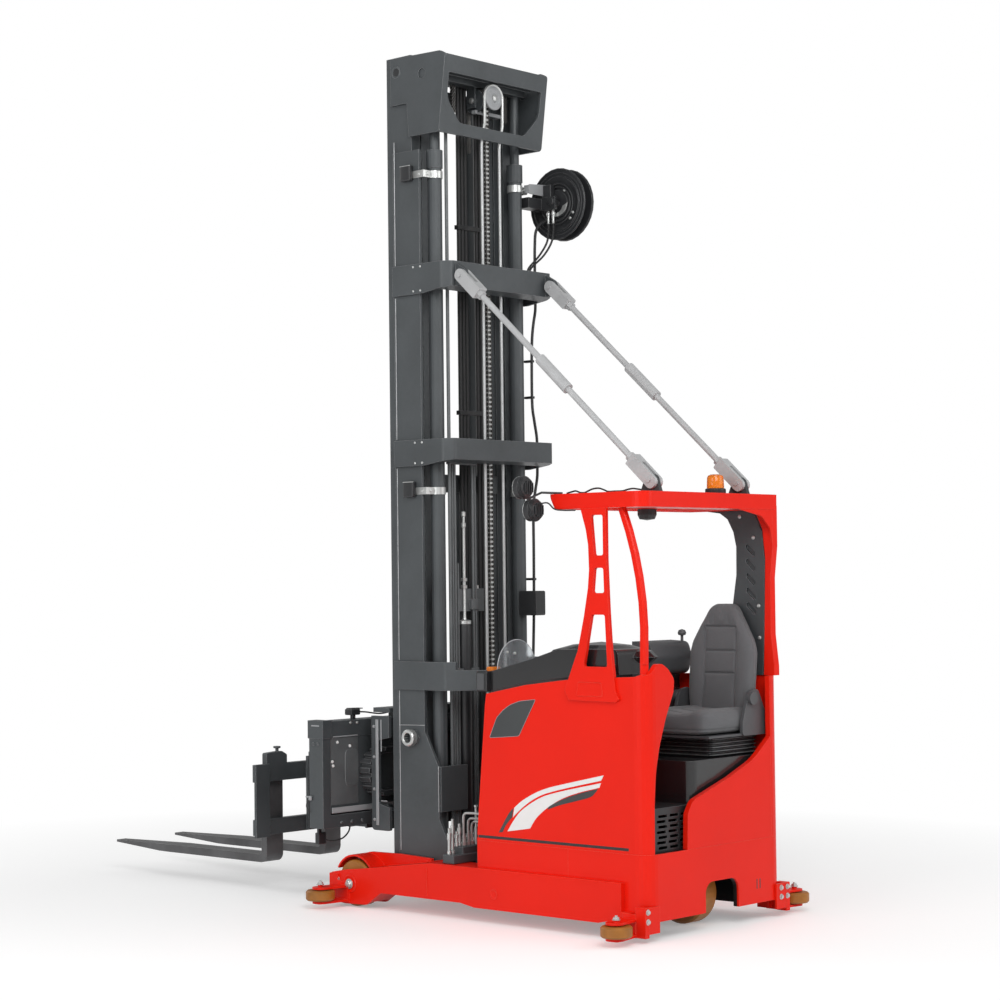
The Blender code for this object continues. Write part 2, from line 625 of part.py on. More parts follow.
def add_cabin(truck):
    low = DECK_Z + SEAT
    wall = BODY_HALF - SKIN - SEAT
    slots = []
    rows = 7
    columns = 3
    left = PEDESTAL_Y[1] + 0.010
    right = wall
    pitch_y = (0.441 - left) / columns
    pitch_z = (FLOOR_Z - 0.035 - low) / rows
    for row in range(rows):
        for column in range(columns):
            y0 = left + 0.004 + column * pitch_y + (row % 2) * 0.012
            z0 = low + 0.012 + row * pitch_z
            slots.append(rectangle((y0, y0 + pitch_y - 0.022), (z0, z0 + pitch_z * 0.55)))
    step = [(RISER_X, low), (RISER_X, FLOOR_Z), (HOOD_REAR - 0.012, FLOOR_Z),
            (HOOD_REAR - 0.012, FLOOR_Z - FLOOR_T), (RISER_X + 0.012, FLOOR_Z - FLOOR_T),
            (RISER_X + 0.012, low)]
    truck.add("cab_floor", "black_plastic", [prism(step, "Y", left - 0.009, right)],
              [prism(slot, "X", RISER_X - 0.01, RISER_X + 0.02) for slot in slots]
              + [beyond_panels(0.3, 0.8)])

    front = PEDESTAL_X
    block = fillet([(front[0], PEDESTAL_Y[0], 0.02), (front[1], PEDESTAL_Y[0], 0.02),
                    (front[1], PEDESTAL_Y[1], 0.03), (front[0], PEDESTAL_Y[1], 0.05)], 5)
    truck.add("seat_pedestal", "black_plastic", [prism(block, "Z", low, PEDESTAL_TOP)])

    bulkhead = prism(rectangle((-wall, wall), (low, 1.200), 0.0), "X", HOOD_REAR, HOOD_REAR + 0.025)
    truck.add("battery_bulkhead", "black_plastic", [bulkhead])

    side = fillet([(1.075, PANEL_TOP_FRONT + 0.012), (HOOD_FRONT, 1.324, 0.02), (0.783, 1.392, 0.2),
                   (0.600, 1.445, 0.1), (0.200, 1.450, 0.03), (0.190, 1.322), (0.502, 1.306),
                   (0.800, 1.271)], 4)
    lap = 0.003
    hood = prism([(HOOD_REAR, 1.2003), (1.060, 1.2003), (1.075 - lap, PANEL_TOP_FRONT + 0.012 + lap),
                  (HOOD_FRONT - lap, 1.324 - lap), (0.783, 1.392 - lap), (HOOD_REAR, 1.430 - lap)],
                 "Y", -wall, wall - lap)
    dash = prism(side, "Y", 0.300, wall)
    dome = turned([(0, -0.30), (0.14, -0.24), (0.24, -0.12), (0.27, 0.0), (0.24, 0.12), (0.14, 0.24),
                   (0, 0.30)], "Z", (0, 0, 0), 24)
    dome.transform(Matrix.Translation((0.480, 0.330, 1.405)) @ Matrix.Diagonal((1.30, 0.62, 0.25, 1)))
    truck.add("top_cover", "black_plastic", [hood, dash, dome],
              [box((-0.1, 1.2), (wall, 0.8), (1.1, 1.7))])


def add_seat(truck):
    low = PEDESTAL_TOP + SEAT
    layers = 5
    step = (BELLOWS_TOP - low) / layers
    bm_profile = []
    for i in range(layers):
        z0 = low + i * step
        bm_profile += [(0.0, z0), (0.012, z0 + step * 0.5)]
    bm_profile.append((0.0, BELLOWS_TOP))
    rings = []
    bm = bmesh.new()
    for grow, z in bm_profile:
        outline = rectangle((BELLOWS_X[0] - grow, BELLOWS_X[1] + grow),
                            (BELLOWS_Y[0] - grow, BELLOWS_Y[1] + grow), 0.030)
        rings.append([bm.verts.new((x, y, z)) for x, y in outline])
    for one, two in zip(rings, rings[1:]):
        count = len(one)
        for k in range(count):
            n = (k + 1) % count
            bm.faces.new((one[k], one[n], two[n], two[k]))
    bm.faces.new(rings[0])
    bm.faces.new(rings[-1])
    truck.add("seat_suspension", "rubber", [finish_mesh(bm)])

    pan_z = BELLOWS_TOP + SEAT
    bracket = fillet([(-0.500, pan_z), (-0.300, pan_z, 0.02), (-0.300, pan_z + 0.07, 0.03),
                      (-0.360, 1.200, 0.03), (-0.440, 1.215, 0.03), (-0.500, 1.100, 0.03)], 4)
    pan_half = BACK_HALF + 0.008
    adds = [box((SEAT_X - pan_half, SEAT_X + pan_half), (-0.470, -0.020), (pan_z, pan_z + PAN_T))]
    for sign in (-1, 1):
        inner = SEAT_X + sign * (BACK_HALF + SEAT)
        outer = SEAT_X + sign * (BACK_HALF + 0.020)
        adds.append(prism(bracket, "X", min(inner, outer), max(inner, outer)))
        knob = sorted((outer - sign * BITE, outer + sign * 0.022))
        adds.append(cylinder("X", (0, -0.375, 1.165), 0.034, knob[0], knob[1], 16))
    truck.add("seat_frame", "grey_plastic", adds)

    base = pan_z + PAN_T + SEAT
    cushion = prism(rectangle((SEAT_X - CUSHION_HALF, SEAT_X + CUSHION_HALF), CUSHION_Y, 0.06), "Z",
                    base, base + CUSHION_T)
    truck.add("seat_cushion", "seat_fabric", [cushion])

    lower, upper = BACK_Z
    lower = base + CUSHION_T - 0.115
    shape = [(BACK_HALF - 0.045, lower, 0.03), (BACK_HALF, 1.180, 0.10), (BACK_HALF, 1.430, 0.10),
             (BACK_HALF - 0.068, 1.545, 0.09), (BACK_HALF - 0.128, upper, 0.055)]
    outline = fillet([(SEAT_X + x, z, r) for x, z, r in shape]
                     + [(SEAT_X - x, z, r) for x, z, r in reversed(shape)], 4)
    back = prism(outline, "Y", -BACK_T, 0.0)
    lean = (BACK_HEAD_Y - BACK_FOOT_Y) / (upper - lower)
    shear = Matrix.Identity(4)
    shear[1][2] = lean
    shear[1][3] = BACK_FOOT_Y - lean * lower
    back.transform(shear)
    behind_cushion = box((0, 1), (CUSHION_Y[0] - 0.0005, 0.3), (0.9, base + CUSHION_T + 0.0005))
    truck.add("seat_backrest", "seat_fabric", [back], [behind_cushion])

    column = box((0.600, HOOD_REAR - SEAT), (-0.420, -0.200), (1.000, 1.300))
    desk = prism(fillet([(0.530, 1.290, 0.04), (0.505, 1.380, 0.05), (0.530, 1.460, 0.04),
                         (HOOD_REAR - SEAT, 1.466), (HOOD_REAR - SEAT, 1.270)], 4), "Y", -0.470, -0.130)
    lever_place = (0.545, -0.435, 0)
    lever = cylinder("Z", lever_place, 0.008, 1.44, 1.500, 8)
    knob = turned([(0, 1.488), (0.020, 1.494), (0.024, 1.505), (0.018, 1.520), (0, 1.526)], "Z", lever_place,
                  12)
    truck.add("control_console", "grey_plastic", [column, desk, lever, knob])


def add_guard(truck):
    roof = fillet([(ROOF_FRONT, -ROOF_HALF, 0.02), (ROOF_FRONT, ROOF_HALF, 0.02),
                   (0.0, ROOF_HALF, 0.070), (0.0, -ROOF_HALF, 0.006)], 6)
    slots = []
    pitch = 2 * (ROOF_HALF - 0.045) / ROOF_SLOTS
    for i in range(ROOF_SLOTS):
        y0 = -ROOF_HALF + 0.045 + i * pitch
        slots.append(rectangle((0.175, ROOF_FRONT - 0.055), (y0 + 0.012, y0 + pitch - 0.012), 0.010))
    plate = prism(roof, "Z", ROOF_Z, ROOF_Z + ROOF_H, slots)
    slant = prism([(ROOF_FRONT - 0.042, ROOF_Z - 0.001), (ROOF_FRONT + 0.05, ROOF_Z - 0.001),
                   (ROOF_FRONT + 0.05, ROOF_Z + ROOF_H + 0.1)], "Y", -0.7, 0.7)
    lugs = []
    for sign in (-1, 1):
        y = sign * STAY_Y
        ear = fillet([(STAY_FOOT[0] - 0.060, ROOF_Z + ROOF_H - BITE),
                      (STAY_FOOT[0] + 0.070, ROOF_Z + ROOF_H - BITE),
                      (STAY_FOOT[0] + 0.030, STAY_FOOT[1] + 0.030, 0.03),
                      (STAY_FOOT[0] - 0.030, STAY_FOOT[1] + 0.030, 0.03)], 4)
        lugs.append(prism(ear, "Y", y - LUG_HALF, y + LUG_HALF,
                          [arc(STAY_FOOT[0], STAY_FOOT[1], PIN_R + 0.0007, 0, 345, 23)]))
    skin_foot = RIGHT_TOP + SEAT
    skin_path = [(0.001, ROOF_Z + 0.02), (0.001, 1.970), (0.020, 1.800), (0.020, 1.500), (0.001, 1.330),
                 (0.001, skin_foot), (0.070, skin_foot), (0.062, 1.500), (0.050, 1.900), (0.066, 2.060),
                 (0.120, ROOF_Z + 0.01), (0.120, ROOF_Z + 0.02)]
    skin_y = (0.001 - ROOF_HALF, 0.045 - ROOF_HALF)
    skin = prism(skin_path, "Y", skin_y[0], skin_y[1])
    gusset = fillet([(skin_y[0] + 0.001, ROOF_Z + 0.012), (skin_y[0] + 0.001, 1.972),
                     (skin_y[1] - 0.002, 1.972),
                     (skin_y[1] + 0.012, 2.060, 0.05), (-0.440, 2.128, 0.1), (-0.230, ROOF_Z - 0.001),
                     (-0.230, ROOF_Z + 0.012)], 4)
    shapes = [plate, skin, prism(gusset, "X", 0.002, 0.012)]
    truck.add("guard_roof", "body_red", shapes + lugs, [slant])

    top = ROOF_Z - SEAT
    outline = [(0.395, top), (0.362, 2.060), (0.347, 1.979), (0.343, 1.852), (0.352, 1.760), (0.380, 1.620),
               (0.424, 1.445), (0.516, 1.239), (0.490, 1.190), (0.180, 1.186), (0.160, 1.200), (0.182, 1.240),
               (0.206, 1.445), (0.219, 1.649), (0.229, 1.901), (0.229, top)]
    windows = [
        fillet([(0.327, 2.130, 0.01), (0.250, 2.130, 0.01), (0.250, 1.925, 0.01), (0.308, 1.925, 0.01)], 2),
        fillet([(0.308, 1.862, 0.01), (0.250, 1.862, 0.01), (0.246, 1.735, 0.01), (0.322, 1.735, 0.01)], 2),
        fillet([(0.330, 1.625, 0.01), (0.244, 1.625, 0.01), (0.232, 1.362, 0.01), (0.387, 1.362, 0.01)], 2),
    ]
    pillar = prism(outline, "Y", PILLAR_OUT - PILLAR_T, PILLAR_OUT, windows)
    notch = box((0.0, 0.8), (BODY_HALF - 0.075, BODY_HALF + SEAT), (1.0, PANEL_TOP_REAR + 0.002))
    truck.add("guard_pillar_left", "body_red", [pillar], [notch])

    route = [(0.0500, 1.200), (0.0500, 1.340), (0.046, 1.559), (0.054, 1.688), (0.072, 1.812), (0.098, 1.929),
             (0.133, 2.045), (0.178, ROOF_Z - SEAT)]
    points = [(x, BODY_HALF - 0.055, z) for x, z in route]
    slim = swept(points, rectangle((-0.018, 0.018), (-0.018, 0.018), 0.006, 1))
    truck.add("guard_pillar_slim", "body_red", [slim],
              [box((-0.1, 0.4), (0.4, 0.7), (ROOF_Z - SEAT, 2.4)), beyond_panels(1.1, HUMP_TOP)])

    dark = [(0.440, top), (0.350, top - 0.012), (0.300, top - 0.045), (0.262, 2.050), (0.244, 1.970),
            (0.246, 1.817), (0.270, 1.671), (0.320, 1.400), (0.330, skin_foot), (0.080, skin_foot),
            (0.068, 1.500), (0.058, 1.900), (0.075, 2.050), (0.135, top)]
    near = 0.040 - BODY_HALF
    slots = []
    for i in range(5):
        z = 1.590 + i * 0.078
        slot = fillet([(0.118, z, 0.010), (0.180, z + 0.058, 0.010), (0.180, z + 0.094, 0.010),
                       (0.118, z + 0.036, 0.010)], 2)
        slots.append(prism(slot, "Y", near - 0.014, near + 0.01))
    shifted = [(u + 0.0005, v) for u, v in skin_path]
    truck.add("guard_pillar_right", "mast_grey", [prism(dark, "Y", near - 0.025, near)],
              slots + [prism(shifted, "Y", -0.8, -0.3)])

    z = ROOF_Z + ROOF_H + SEAT
    truck.add("beacon", "amber_lens", [
        cylinder("Z", (0.150, -0.230, 0), 0.055, z, z + 0.030, 24),
        cylinder("Z", (0.150, -0.230, 0), 0.046, z + 0.028, z + 0.105, 24),
    ])
    lamp_x = ROOF_FRONT + 0.040
    centres = ((ROOF_HALF + 0.154, ROOF_Z + 0.113), (ROOF_HALF + 0.076, ROOF_Z - 0.001))
    lamps = [swept([(ROOF_FRONT - 0.030, ROOF_HALF - 0.075, z + 0.006),
                    (lamp_x, ROOF_HALF + 0.010, z + 0.010),
                    (lamp_x, sum(c[0] for c in centres) / 2, sum(c[1] for c in centres) / 2)],
                   circle(0.006, 8)),
             swept([(lamp_x, y, height) for y, height in centres], circle(0.010, 8))]
    for y, height in centres:
        lamps.append(turned([(0, -0.034), (0.040, -0.034), (0.056, -0.010), (0.058, 0.024), (0.050, 0.024),
                             (0.046, 0.016), (0, 0.016)], "X", (lamp_x, y, height), 20))
    truck.add("work_lights", "black_plastic", lamps)

    under = ROOF_Z - SEAT
    truck.add("dome_lamp", "black_plastic", [turned([(0, under), (0.050, under), (0.050, under - 0.030),
                                                     (0.040, under - 0.052),
                                                     (0, under - 0.058)], "Z", (0.290, 0.177, 0), 16)])


def stay_mesh(sign):
    """A stay: a clevis at each end, a threaded rod, lock nuts and a turnbuckle sleeve."""
    start = Vector((STAY_FOOT[0], STAY_FOOT[1]))
    end = Vector((STAY_TOP[0], STAY_TOP[1]))
    length = (end - start).length
    parts = []
    for middle, towards, nose in ((0.0, 1, 0.048), (length, -1, 0.034)):
        cheek = fillet([(middle - towards * nose, -0.034, 0.032), (middle + towards * 0.170, -0.034, 0.006),
                        (middle + towards * 0.170, 0.034, 0.006), (middle - towards * nose, 0.034, 0.032)], 4)
        parts.append(prism(cheek, "Y", -0.032, 0.032))
        parts.append(cylinder("X", (0, 0, 0), 0.026, min(middle + towards * 0.165, middle + towards * 0.195),
                              max(middle + towards * 0.165, middle + towards * 0.195), 6))
    parts.append(cylinder("X", (0, 0, 0), STAY_R, 0.15, length - 0.15, 12))
    parts.append(cylinder("X", (0, 0, 0), SLEEVE_R, length / 2 - 0.13, length / 2 + 0.13, 12))
    gap = LUG_HALF + SEAT
    slots = [box((-0.06, 0.105), (-gap, gap), (-0.06, 0.06)),
             box((length - 0.105, length + 0.06), (-gap, gap), (-0.06, 0.06))]
    pins = [cylinder("Y", (0, 0, 0), PIN_R, -0.038, 0.038, 24),
            cylinder("Y", (length, 0, 0), PIN_R, -0.038, 0.038, 24)]
    mesh = welded(parts, slots)
    mesh = welded([mesh] + pins)
    tilt = math.atan2(end[1] - start[1], end[0] - start[0])
    place = Matrix.Translation((start[0], sign * STAY_Y, start[1])) @ Matrix.Rotation(-tilt, 4, "Y")
    mesh.transform(place)
    return mesh


def add_stays(truck):
    for name, sign in (("left", 1), ("right", -1)):
        truck.add("stay_" + name, "steel", [stay_mesh(sign)])


def roller(x, z, mount_y, face):
    """A mast roller: its wheel spans the two places in face, its hub runs on to mount_y."""
    radius = (RAIL_X[1] - RAIL_X[0]) / 2 - FLANGE_T - ROLL
    near = min(face[0], face[1])
    far = max(face[0], face[1])
    hub = (min(mount_y, near + 0.004), max(mount_y, far - 0.004))
    wheel = cylinder("Y", (x, 0, z), radius, near, far, 20)
    return [wheel, cylinder("Y", (x, 0, z), 0.026, hub[0], hub[1], 8)]


def channel(x, web_y, tip_y, web=RAIL_T, flange=FLANGE_T):
    """Plan of a C rail: its web on the outer side, its flanges towards the middle."""
    inner = web_y - web
    return [(x[0], web_y), (x[1], web_y), (x[1], tip_y), (x[1] - flange, tip_y), (x[1] - flange, inner),
            (x[0] + flange, inner), (x[0] + flange, tip_y), (x[0], tip_y)]


def i_beam(x, outer, inner, web=RAIL_T, flange=FLANGE_T):
    """Plan of an I rail: flanges front and rear, its web in the middle."""
    middle = (outer + inner) / 2
    a = middle + web / 2
    b = middle - web / 2
    return [(x[0], outer), (x[0] + flange, outer), (x[0] + flange, a), (x[1] - flange, a),
            (x[1] - flange, outer), (x[1], outer), (x[1], inner), (x[1] - flange, inner),
            (x[1] - flange, b), (x[0] + flange, b), (x[0] + flange, inner), (x[0], inner)]


def add_mast(truck):
    web = MAST_HALF - CHEEK_T
    tip = web - RAIL_W
    middle_out = tip - RUN
    middle_in = middle_out - RAIL_W
    inner_out = middle_in - RUN
    inner_in = inner_out - RAIL_W

    for name, sign in (("left", 1), ("right", -1)):
        foot = [(CHEEK_REAR, 4.20), (CHEEK_REAR, 0.975), (1.565, 0.780), (1.565, 0.500), (FOOT_REAR, 0.290),
                (FOOT_REAR, MAST_FOOT), (RAIL_X[1] - 0.055, MAST_FOOT), (RAIL_X[1] - 0.055, 4.20)]
        parts = [
            prism(channel(RAIL_X, web, tip), "Z", MAST_FOOT, MAST_TOP),
            prism(foot, "Y", web - 0.002, MAST_HALF),
            box((FOOT_REAR, RAIL_X[0] + BITE), (CYL_Y - 0.060, MAST_HALF - BITE),
                (MAST_FOOT, MAST_FOOT + FOOT_PAD)),
            box((1.556, 1.572), (0.210, web + 0.006), (0.540, 0.787)),
            cylinder("Y", (SOCKET[0], 0, SOCKET[1]), SOCKET_R, MAST_HALF - BITE, MAST_HALF + 0.045, 6),
        ] + roller(ROLLER_X, HEAD_TOP - 0.090, web - RAIL_T + 0.004, (middle_out - 0.022, middle_out - 0.001))
        cuts = [cylinder("Y", (SOCKET[0], 0, SOCKET[1]), SOCKET_R * 0.6, MAST_HALF + 0.010, MAST_HALF + 0.10,
                         12)]
        if sign < 0:
            parts = [mirrored(part) for part in parts]
            cuts = [mirrored(cut) for cut in cuts]
        truck.add("mast_rail_" + name, "mast_grey", parts, cuts)

    plate = fillet([(RAIL_X[1] - 0.045, MAST_TOP - 0.006), (1.500, HEAD_TOP + 0.020, 0.02),
                    (HEAD_REAR, HEAD_TOP, 0.02),
                    (1.515, HEAD_Z, 0.02), (1.745, HEAD_Z), (1.760, 4.470), (RAIL_X[1] - 0.045, 4.470)], 3)
    hole = arc(1.640, 4.620, 0.028, 0, 330, 11)
    parts = []
    head_in = web + SEAT
    for sign in (-1, 1):
        sides = sorted((sign * head_in, sign * (head_in + CHEEK_T)))
        parts.append(prism(plate, "Y", sides[0], sides[1], [hole]))
    head_half = head_in + CHEEK_T / 2
    half = head_half - 0.037
    window = fillet([(-half, 4.610, 0.01), (-half, 4.470, 0.10), (0.115 - half, 4.345, 0.05),
                     (half - 0.115, 4.345, 0.05), (half, 4.470, 0.10), (half, 4.610, 0.01)], 4)
    face = prism(rectangle((-head_half, head_half), (HEAD_Z, HEAD_TOP), 0.006), "X", 0, 0.016, [window])
    lean = (1.515 - HEAD_REAR) / (HEAD_Z - HEAD_TOP)
    shear = Matrix.Identity(4)
    shear[0][2] = lean
    shear[0][3] = HEAD_REAR - lean * HEAD_TOP
    face.transform(shear)
    lid = box((HEAD_REAR + 0.010, TIE_REAR + 0.090), (-head_half + 0.002, head_half - 0.002),
              (HEAD_TOP - 0.016, HEAD_TOP - 0.002))
    parts += [face, lid]
    truck.add("mast_head_frame", "mast_grey", parts)

    side_in = MAST_HALF + SEAT
    ties = (("upper", UPPER_TIE_Z), ("middle", MIDDLE_TIE_Z))
    for name, (low, high) in ties:
        yoke = fillet([(RAIL_X[1] - 0.060, side_in), (RAIL_X[1] - 0.060, side_in + 0.016),
                       (TIE_REAR + 0.060, side_in + 0.016, 0.05), (TIE_REAR, side_in - 0.020, 0.03),
                       (TIE_REAR, -side_in + 0.020, 0.03), (TIE_REAR + 0.060, -side_in - 0.016, 0.05),
                       (RAIL_X[1] - 0.060, -side_in - 0.016), (RAIL_X[1] - 0.060, -side_in),
                       (TIE_REAR + 0.068, -side_in, 0.03), (TIE_REAR + 0.090, -side_in + 0.030, 0.02),
                       (TIE_REAR + 0.090, side_in - 0.030, 0.02), (TIE_REAR + 0.068, side_in, 0.03)], 4)
        parts = [prism(yoke, "Z", low, high)]
        side_view = [(RAIL_X[1], low - 0.01), (RAIL_X[1], low - 0.001), (1.650, low - 0.001),
                     (TIE_REAR - 0.01, low + 0.030), (TIE_REAR - 0.01, low - 0.01)]
        cuts = [prism(side_view, "Y", -0.6, 0.6)]
        if name == "upper":
            for sign in (-1, 1):
                y = sign * STAY_Y
                ear = fillet([(TIE_REAR + BITE, low + 0.020), (TIE_REAR + BITE, high - 0.010),
                              (STAY_TOP[0] - 0.030, STAY_TOP[1] + 0.030, 0.03),
                              (STAY_TOP[0] - 0.030, STAY_TOP[1] - 0.035, 0.03)], 4)
                parts.append(prism(ear, "Y", y - LUG_HALF, y + LUG_HALF,
                                   [arc(STAY_TOP[0], STAY_TOP[1], PIN_R + 0.0007, 0, 345, 23)]))
        truck.add("mast_tie_" + name, "mast_grey", parts, cuts)

    low, high = LOWER_TIE_Z
    rear = BAND_REAR
    front = RAIL_X[1] - 0.045
    bend_y = side_in - 0.170
    band = fillet([(front, side_in), (front, side_in + BAND_T), (1.500, side_in + BAND_T, 0.03),
                   (rear, bend_y, 0.02), (rear, bend_y - 0.060), (rear + BAND_T, bend_y - 0.060),
                   (rear + BAND_T, bend_y + 0.004, 0.02), (1.507, side_in, 0.02)], 4)
    parts = [prism(band, "Z", low, high), mirrored(prism(band, "Z", low, high)),
             box((rear, rear + BAND_T), (0.050 - bend_y, bend_y - 0.050), (low + 0.010, high - 0.060))]
    cuts = [box((1.20, 1.455), (-0.60, 0.60), (high - 0.045, high + 0.1))]
    truck.add("mast_tie_lower", "mast_grey", parts, cuts)

    clip_x = (TIE_REAR + 0.090 + SEAT, TIE_REAR + 0.105)
    pipe_x = TIE_REAR + 0.106
    pipes = []
    for y in PIPE_Y:
        pipes.append(cylinder("Z", (pipe_x, y, 0), PIPE_R, 0.420, HEAD_Z - 0.020, 10))
    for low, high in (UPPER_TIE_Z, MIDDLE_TIE_Z):
        pipes.append(box(clip_x, (min(PIPE_Y) - 0.016, max(PIPE_Y) + 0.016), (low + 0.060, high - 0.070)))
    truck.add("mast_pipes", "steel", pipes)

    foot = MAST_FOOT + FOOT_PAD + SEAT
    for name, sign in (("left", 1), ("right", -1)):
        tube = turned([(0, foot), (CYL_R, foot), (CYL_R, CYL_TOP - 0.10), (CYL_R + 0.006, CYL_TOP - 0.10),
                       (CYL_R + 0.006, CYL_TOP), (CYL_BORE, CYL_TOP), (CYL_BORE, foot + 0.050),
                       (0, foot + 0.050)],
                      "Z", (CYL_X, sign * CYL_Y, 0), 16)
        truck.add("lift_cylinder_" + name, "mast_grey", [tube])

    middle_web = (middle_out + middle_in) / 2
    inner_web = (inner_out + inner_in) / 2
    truck.add_frame("middle_mast", (0, 0, MIDDLE_FOOT), "truck")
    parts = []
    for sign in (-1, 1):
        rail = prism(i_beam(RAIL_X, middle_out, middle_in), "Z", MIDDLE_FOOT, MIDDLE_TOP)
        rod = cylinder("Z", (CYL_X, CYL_Y, 0), ROD_R, 0.250, MIDDLE_TOP - 0.030, 14)
        shapes = [rail, rod]
        shapes += roller(ROLLER_X, MIDDLE_FOOT + 0.100, middle_web, (tip + 0.002, web - RAIL_T - 0.003))
        shapes += roller(ROLLER_X, MIDDLE_TOP - 0.090, middle_web, (inner_out - 0.022, inner_out - 0.001))
        for shape in shapes:
            parts.append(shape if sign > 0 else mirrored(shape))
    parts.append(box((CYL_X - 0.050, CROSS_X[1]), (-CYL_Y - 0.040, CYL_Y + 0.040),
                     (MIDDLE_TOP - 0.045, MIDDLE_TOP - 0.005)))
    parts.append(box(CROSS_X, (-middle_in - 0.006, middle_in + 0.006),
                     (MIDDLE_FOOT + 0.020, MIDDLE_FOOT + 0.120)))
    for sign in (-1, 1):
        for z0, z1 in ((MIDDLE_FOOT + 0.026, MIDDLE_FOOT + 0.114), (MIDDLE_TOP - 0.043, MIDDLE_TOP - 0.007)):
            parts.append(box((CROSS_X[1] - BITE, RAIL_X[0] - 0.005),
                             sorted((sign * (inner_out + 0.002), sign * (middle_out - 0.010))), (z0, z1)))
            parts.append(box((RAIL_X[0] - 0.010, RAIL_X[0] + BITE),
                             sorted((sign * (middle_in + 0.006), sign * (middle_out - 0.010))),
                             (z0 + 0.002, z1 - 0.002)))
    sheave = turned([(0.020, -0.022), (0.070, -0.022), (0.070, -0.014), (SHEAVE_R, -0.012), (SHEAVE_R, 0.012),
                     (0.070, 0.014), (0.070, 0.022), (0.020, 0.022)], "Y",
                    (SHEAVE_X, 0, MIDDLE_TOP - 0.120), 24)
    parts.append(cylinder("Y", (SHEAVE_X, 0, MIDDLE_TOP - 0.120), 0.021, -0.040, 0.040, 12))
    parts.append(sheave)
    for sign in (-1, 1):
        cheek = box((SHEAVE_X - 0.025, SHEAVE_X + 0.040), sorted((sign * 0.030, sign * 0.042)),
                    (MIDDLE_TOP - 0.160, MIDDLE_TOP - 0.020))
        parts.append(cheek)
    truck.add("mast_middle", "mast_grey", parts, frame="middle_mast")

    hose_x = sum(CROSS_X) / 2
    hoses = [cylinder("Z", (hose_x, y, 0), HOSE_R, MIDDLE_FOOT + 0.120 + SEAT, MIDDLE_TOP - 0.045 - SEAT, 8)
             for y in HOSE_Y]
    for z in HOSE_CLAMP_Z:
        hoses.append(box((hose_x - 0.016, hose_x + 0.016), (HOSE_Y[0] - 0.018, HOSE_Y[-1] + 0.018),
                         (z - 0.012, z + 0.012)))
    truck.add("mast_hoses", "rubber", hoses, frame="middle_mast")

    chain_top = MIDDLE_TOP - 0.120
    links = []
    count = int((chain_top - CHAIN_FOOT) / CHAIN_PITCH) + 1
    for i in range(count):
        z = chain_top - (count - i) * CHAIN_PITCH
        links += [(0.0105, z), (0.0065, z + 0.50 * CHAIN_PITCH)]
    links.append((0.0105, chain_top + 0.002))
    flat = links + [(-y, z) for y, z in reversed(links)]
    rear = SHEAVE_X - SHEAVE_R - SEAT
    front = SHEAVE_X + SHEAVE_R + SEAT
    bend = arc(SHEAVE_X, chain_top, SHEAVE_R + SEAT, 184, -4, 16)
    bend += arc(SHEAVE_X, chain_top, SHEAVE_R + SEAT + CHAIN_T, -4, 184, 16)
    short = [(y, z) for y, z in links if z > chain_top - 0.30]
    tail = short + [(-y, z) for y, z in reversed(short)]
    truck.add("mast_chain", "steel", [
        prism(flat, "X", rear - CHAIN_T + 0.001, rear),
        prism(tail, "X", front, front + CHAIN_T - 0.001),
        prism(bend, "Y", -0.0085, 0.0085),
    ], frame="middle_mast")

    truck.add_frame("inner_mast", (0, 0, INNER_FOOT), "middle_mast")
    parts = []
    for sign in (-1, 1):
        shapes = [prism(i_beam(RAIL_X, inner_out, inner_in), "Z", INNER_FOOT, INNER_TOP)]
        shapes += roller(ROLLER_X, INNER_FOOT + 0.100, inner_web,
                         (middle_in + 0.001, middle_web - RAIL_T / 2 - 0.003))
        parts += shapes if sign > 0 else [mirrored(shape) for shape in shapes]
    for low, high in ((INNER_FOOT + 0.03, INNER_FOOT + 0.13), (2.30, 2.40),
                      (INNER_TOP - 0.13, INNER_TOP - 0.03)):
        parts.append(box((RAIL_X[0] - 0.020, RAIL_X[0] + BITE), (-inner_out + 0.01, inner_out - 0.01),
                         (low, high)))
    for sign in (-1, 1):
        parts.append(cylinder("Z", (RAIL_X[0] + 0.030, sign * 0.055, 0), 0.038, INNER_FOOT + 0.06, 2.36, 16))
    truck.add("mast_inner", "mast_grey", parts, frame="inner_mast")
    return inner_out, inner_in


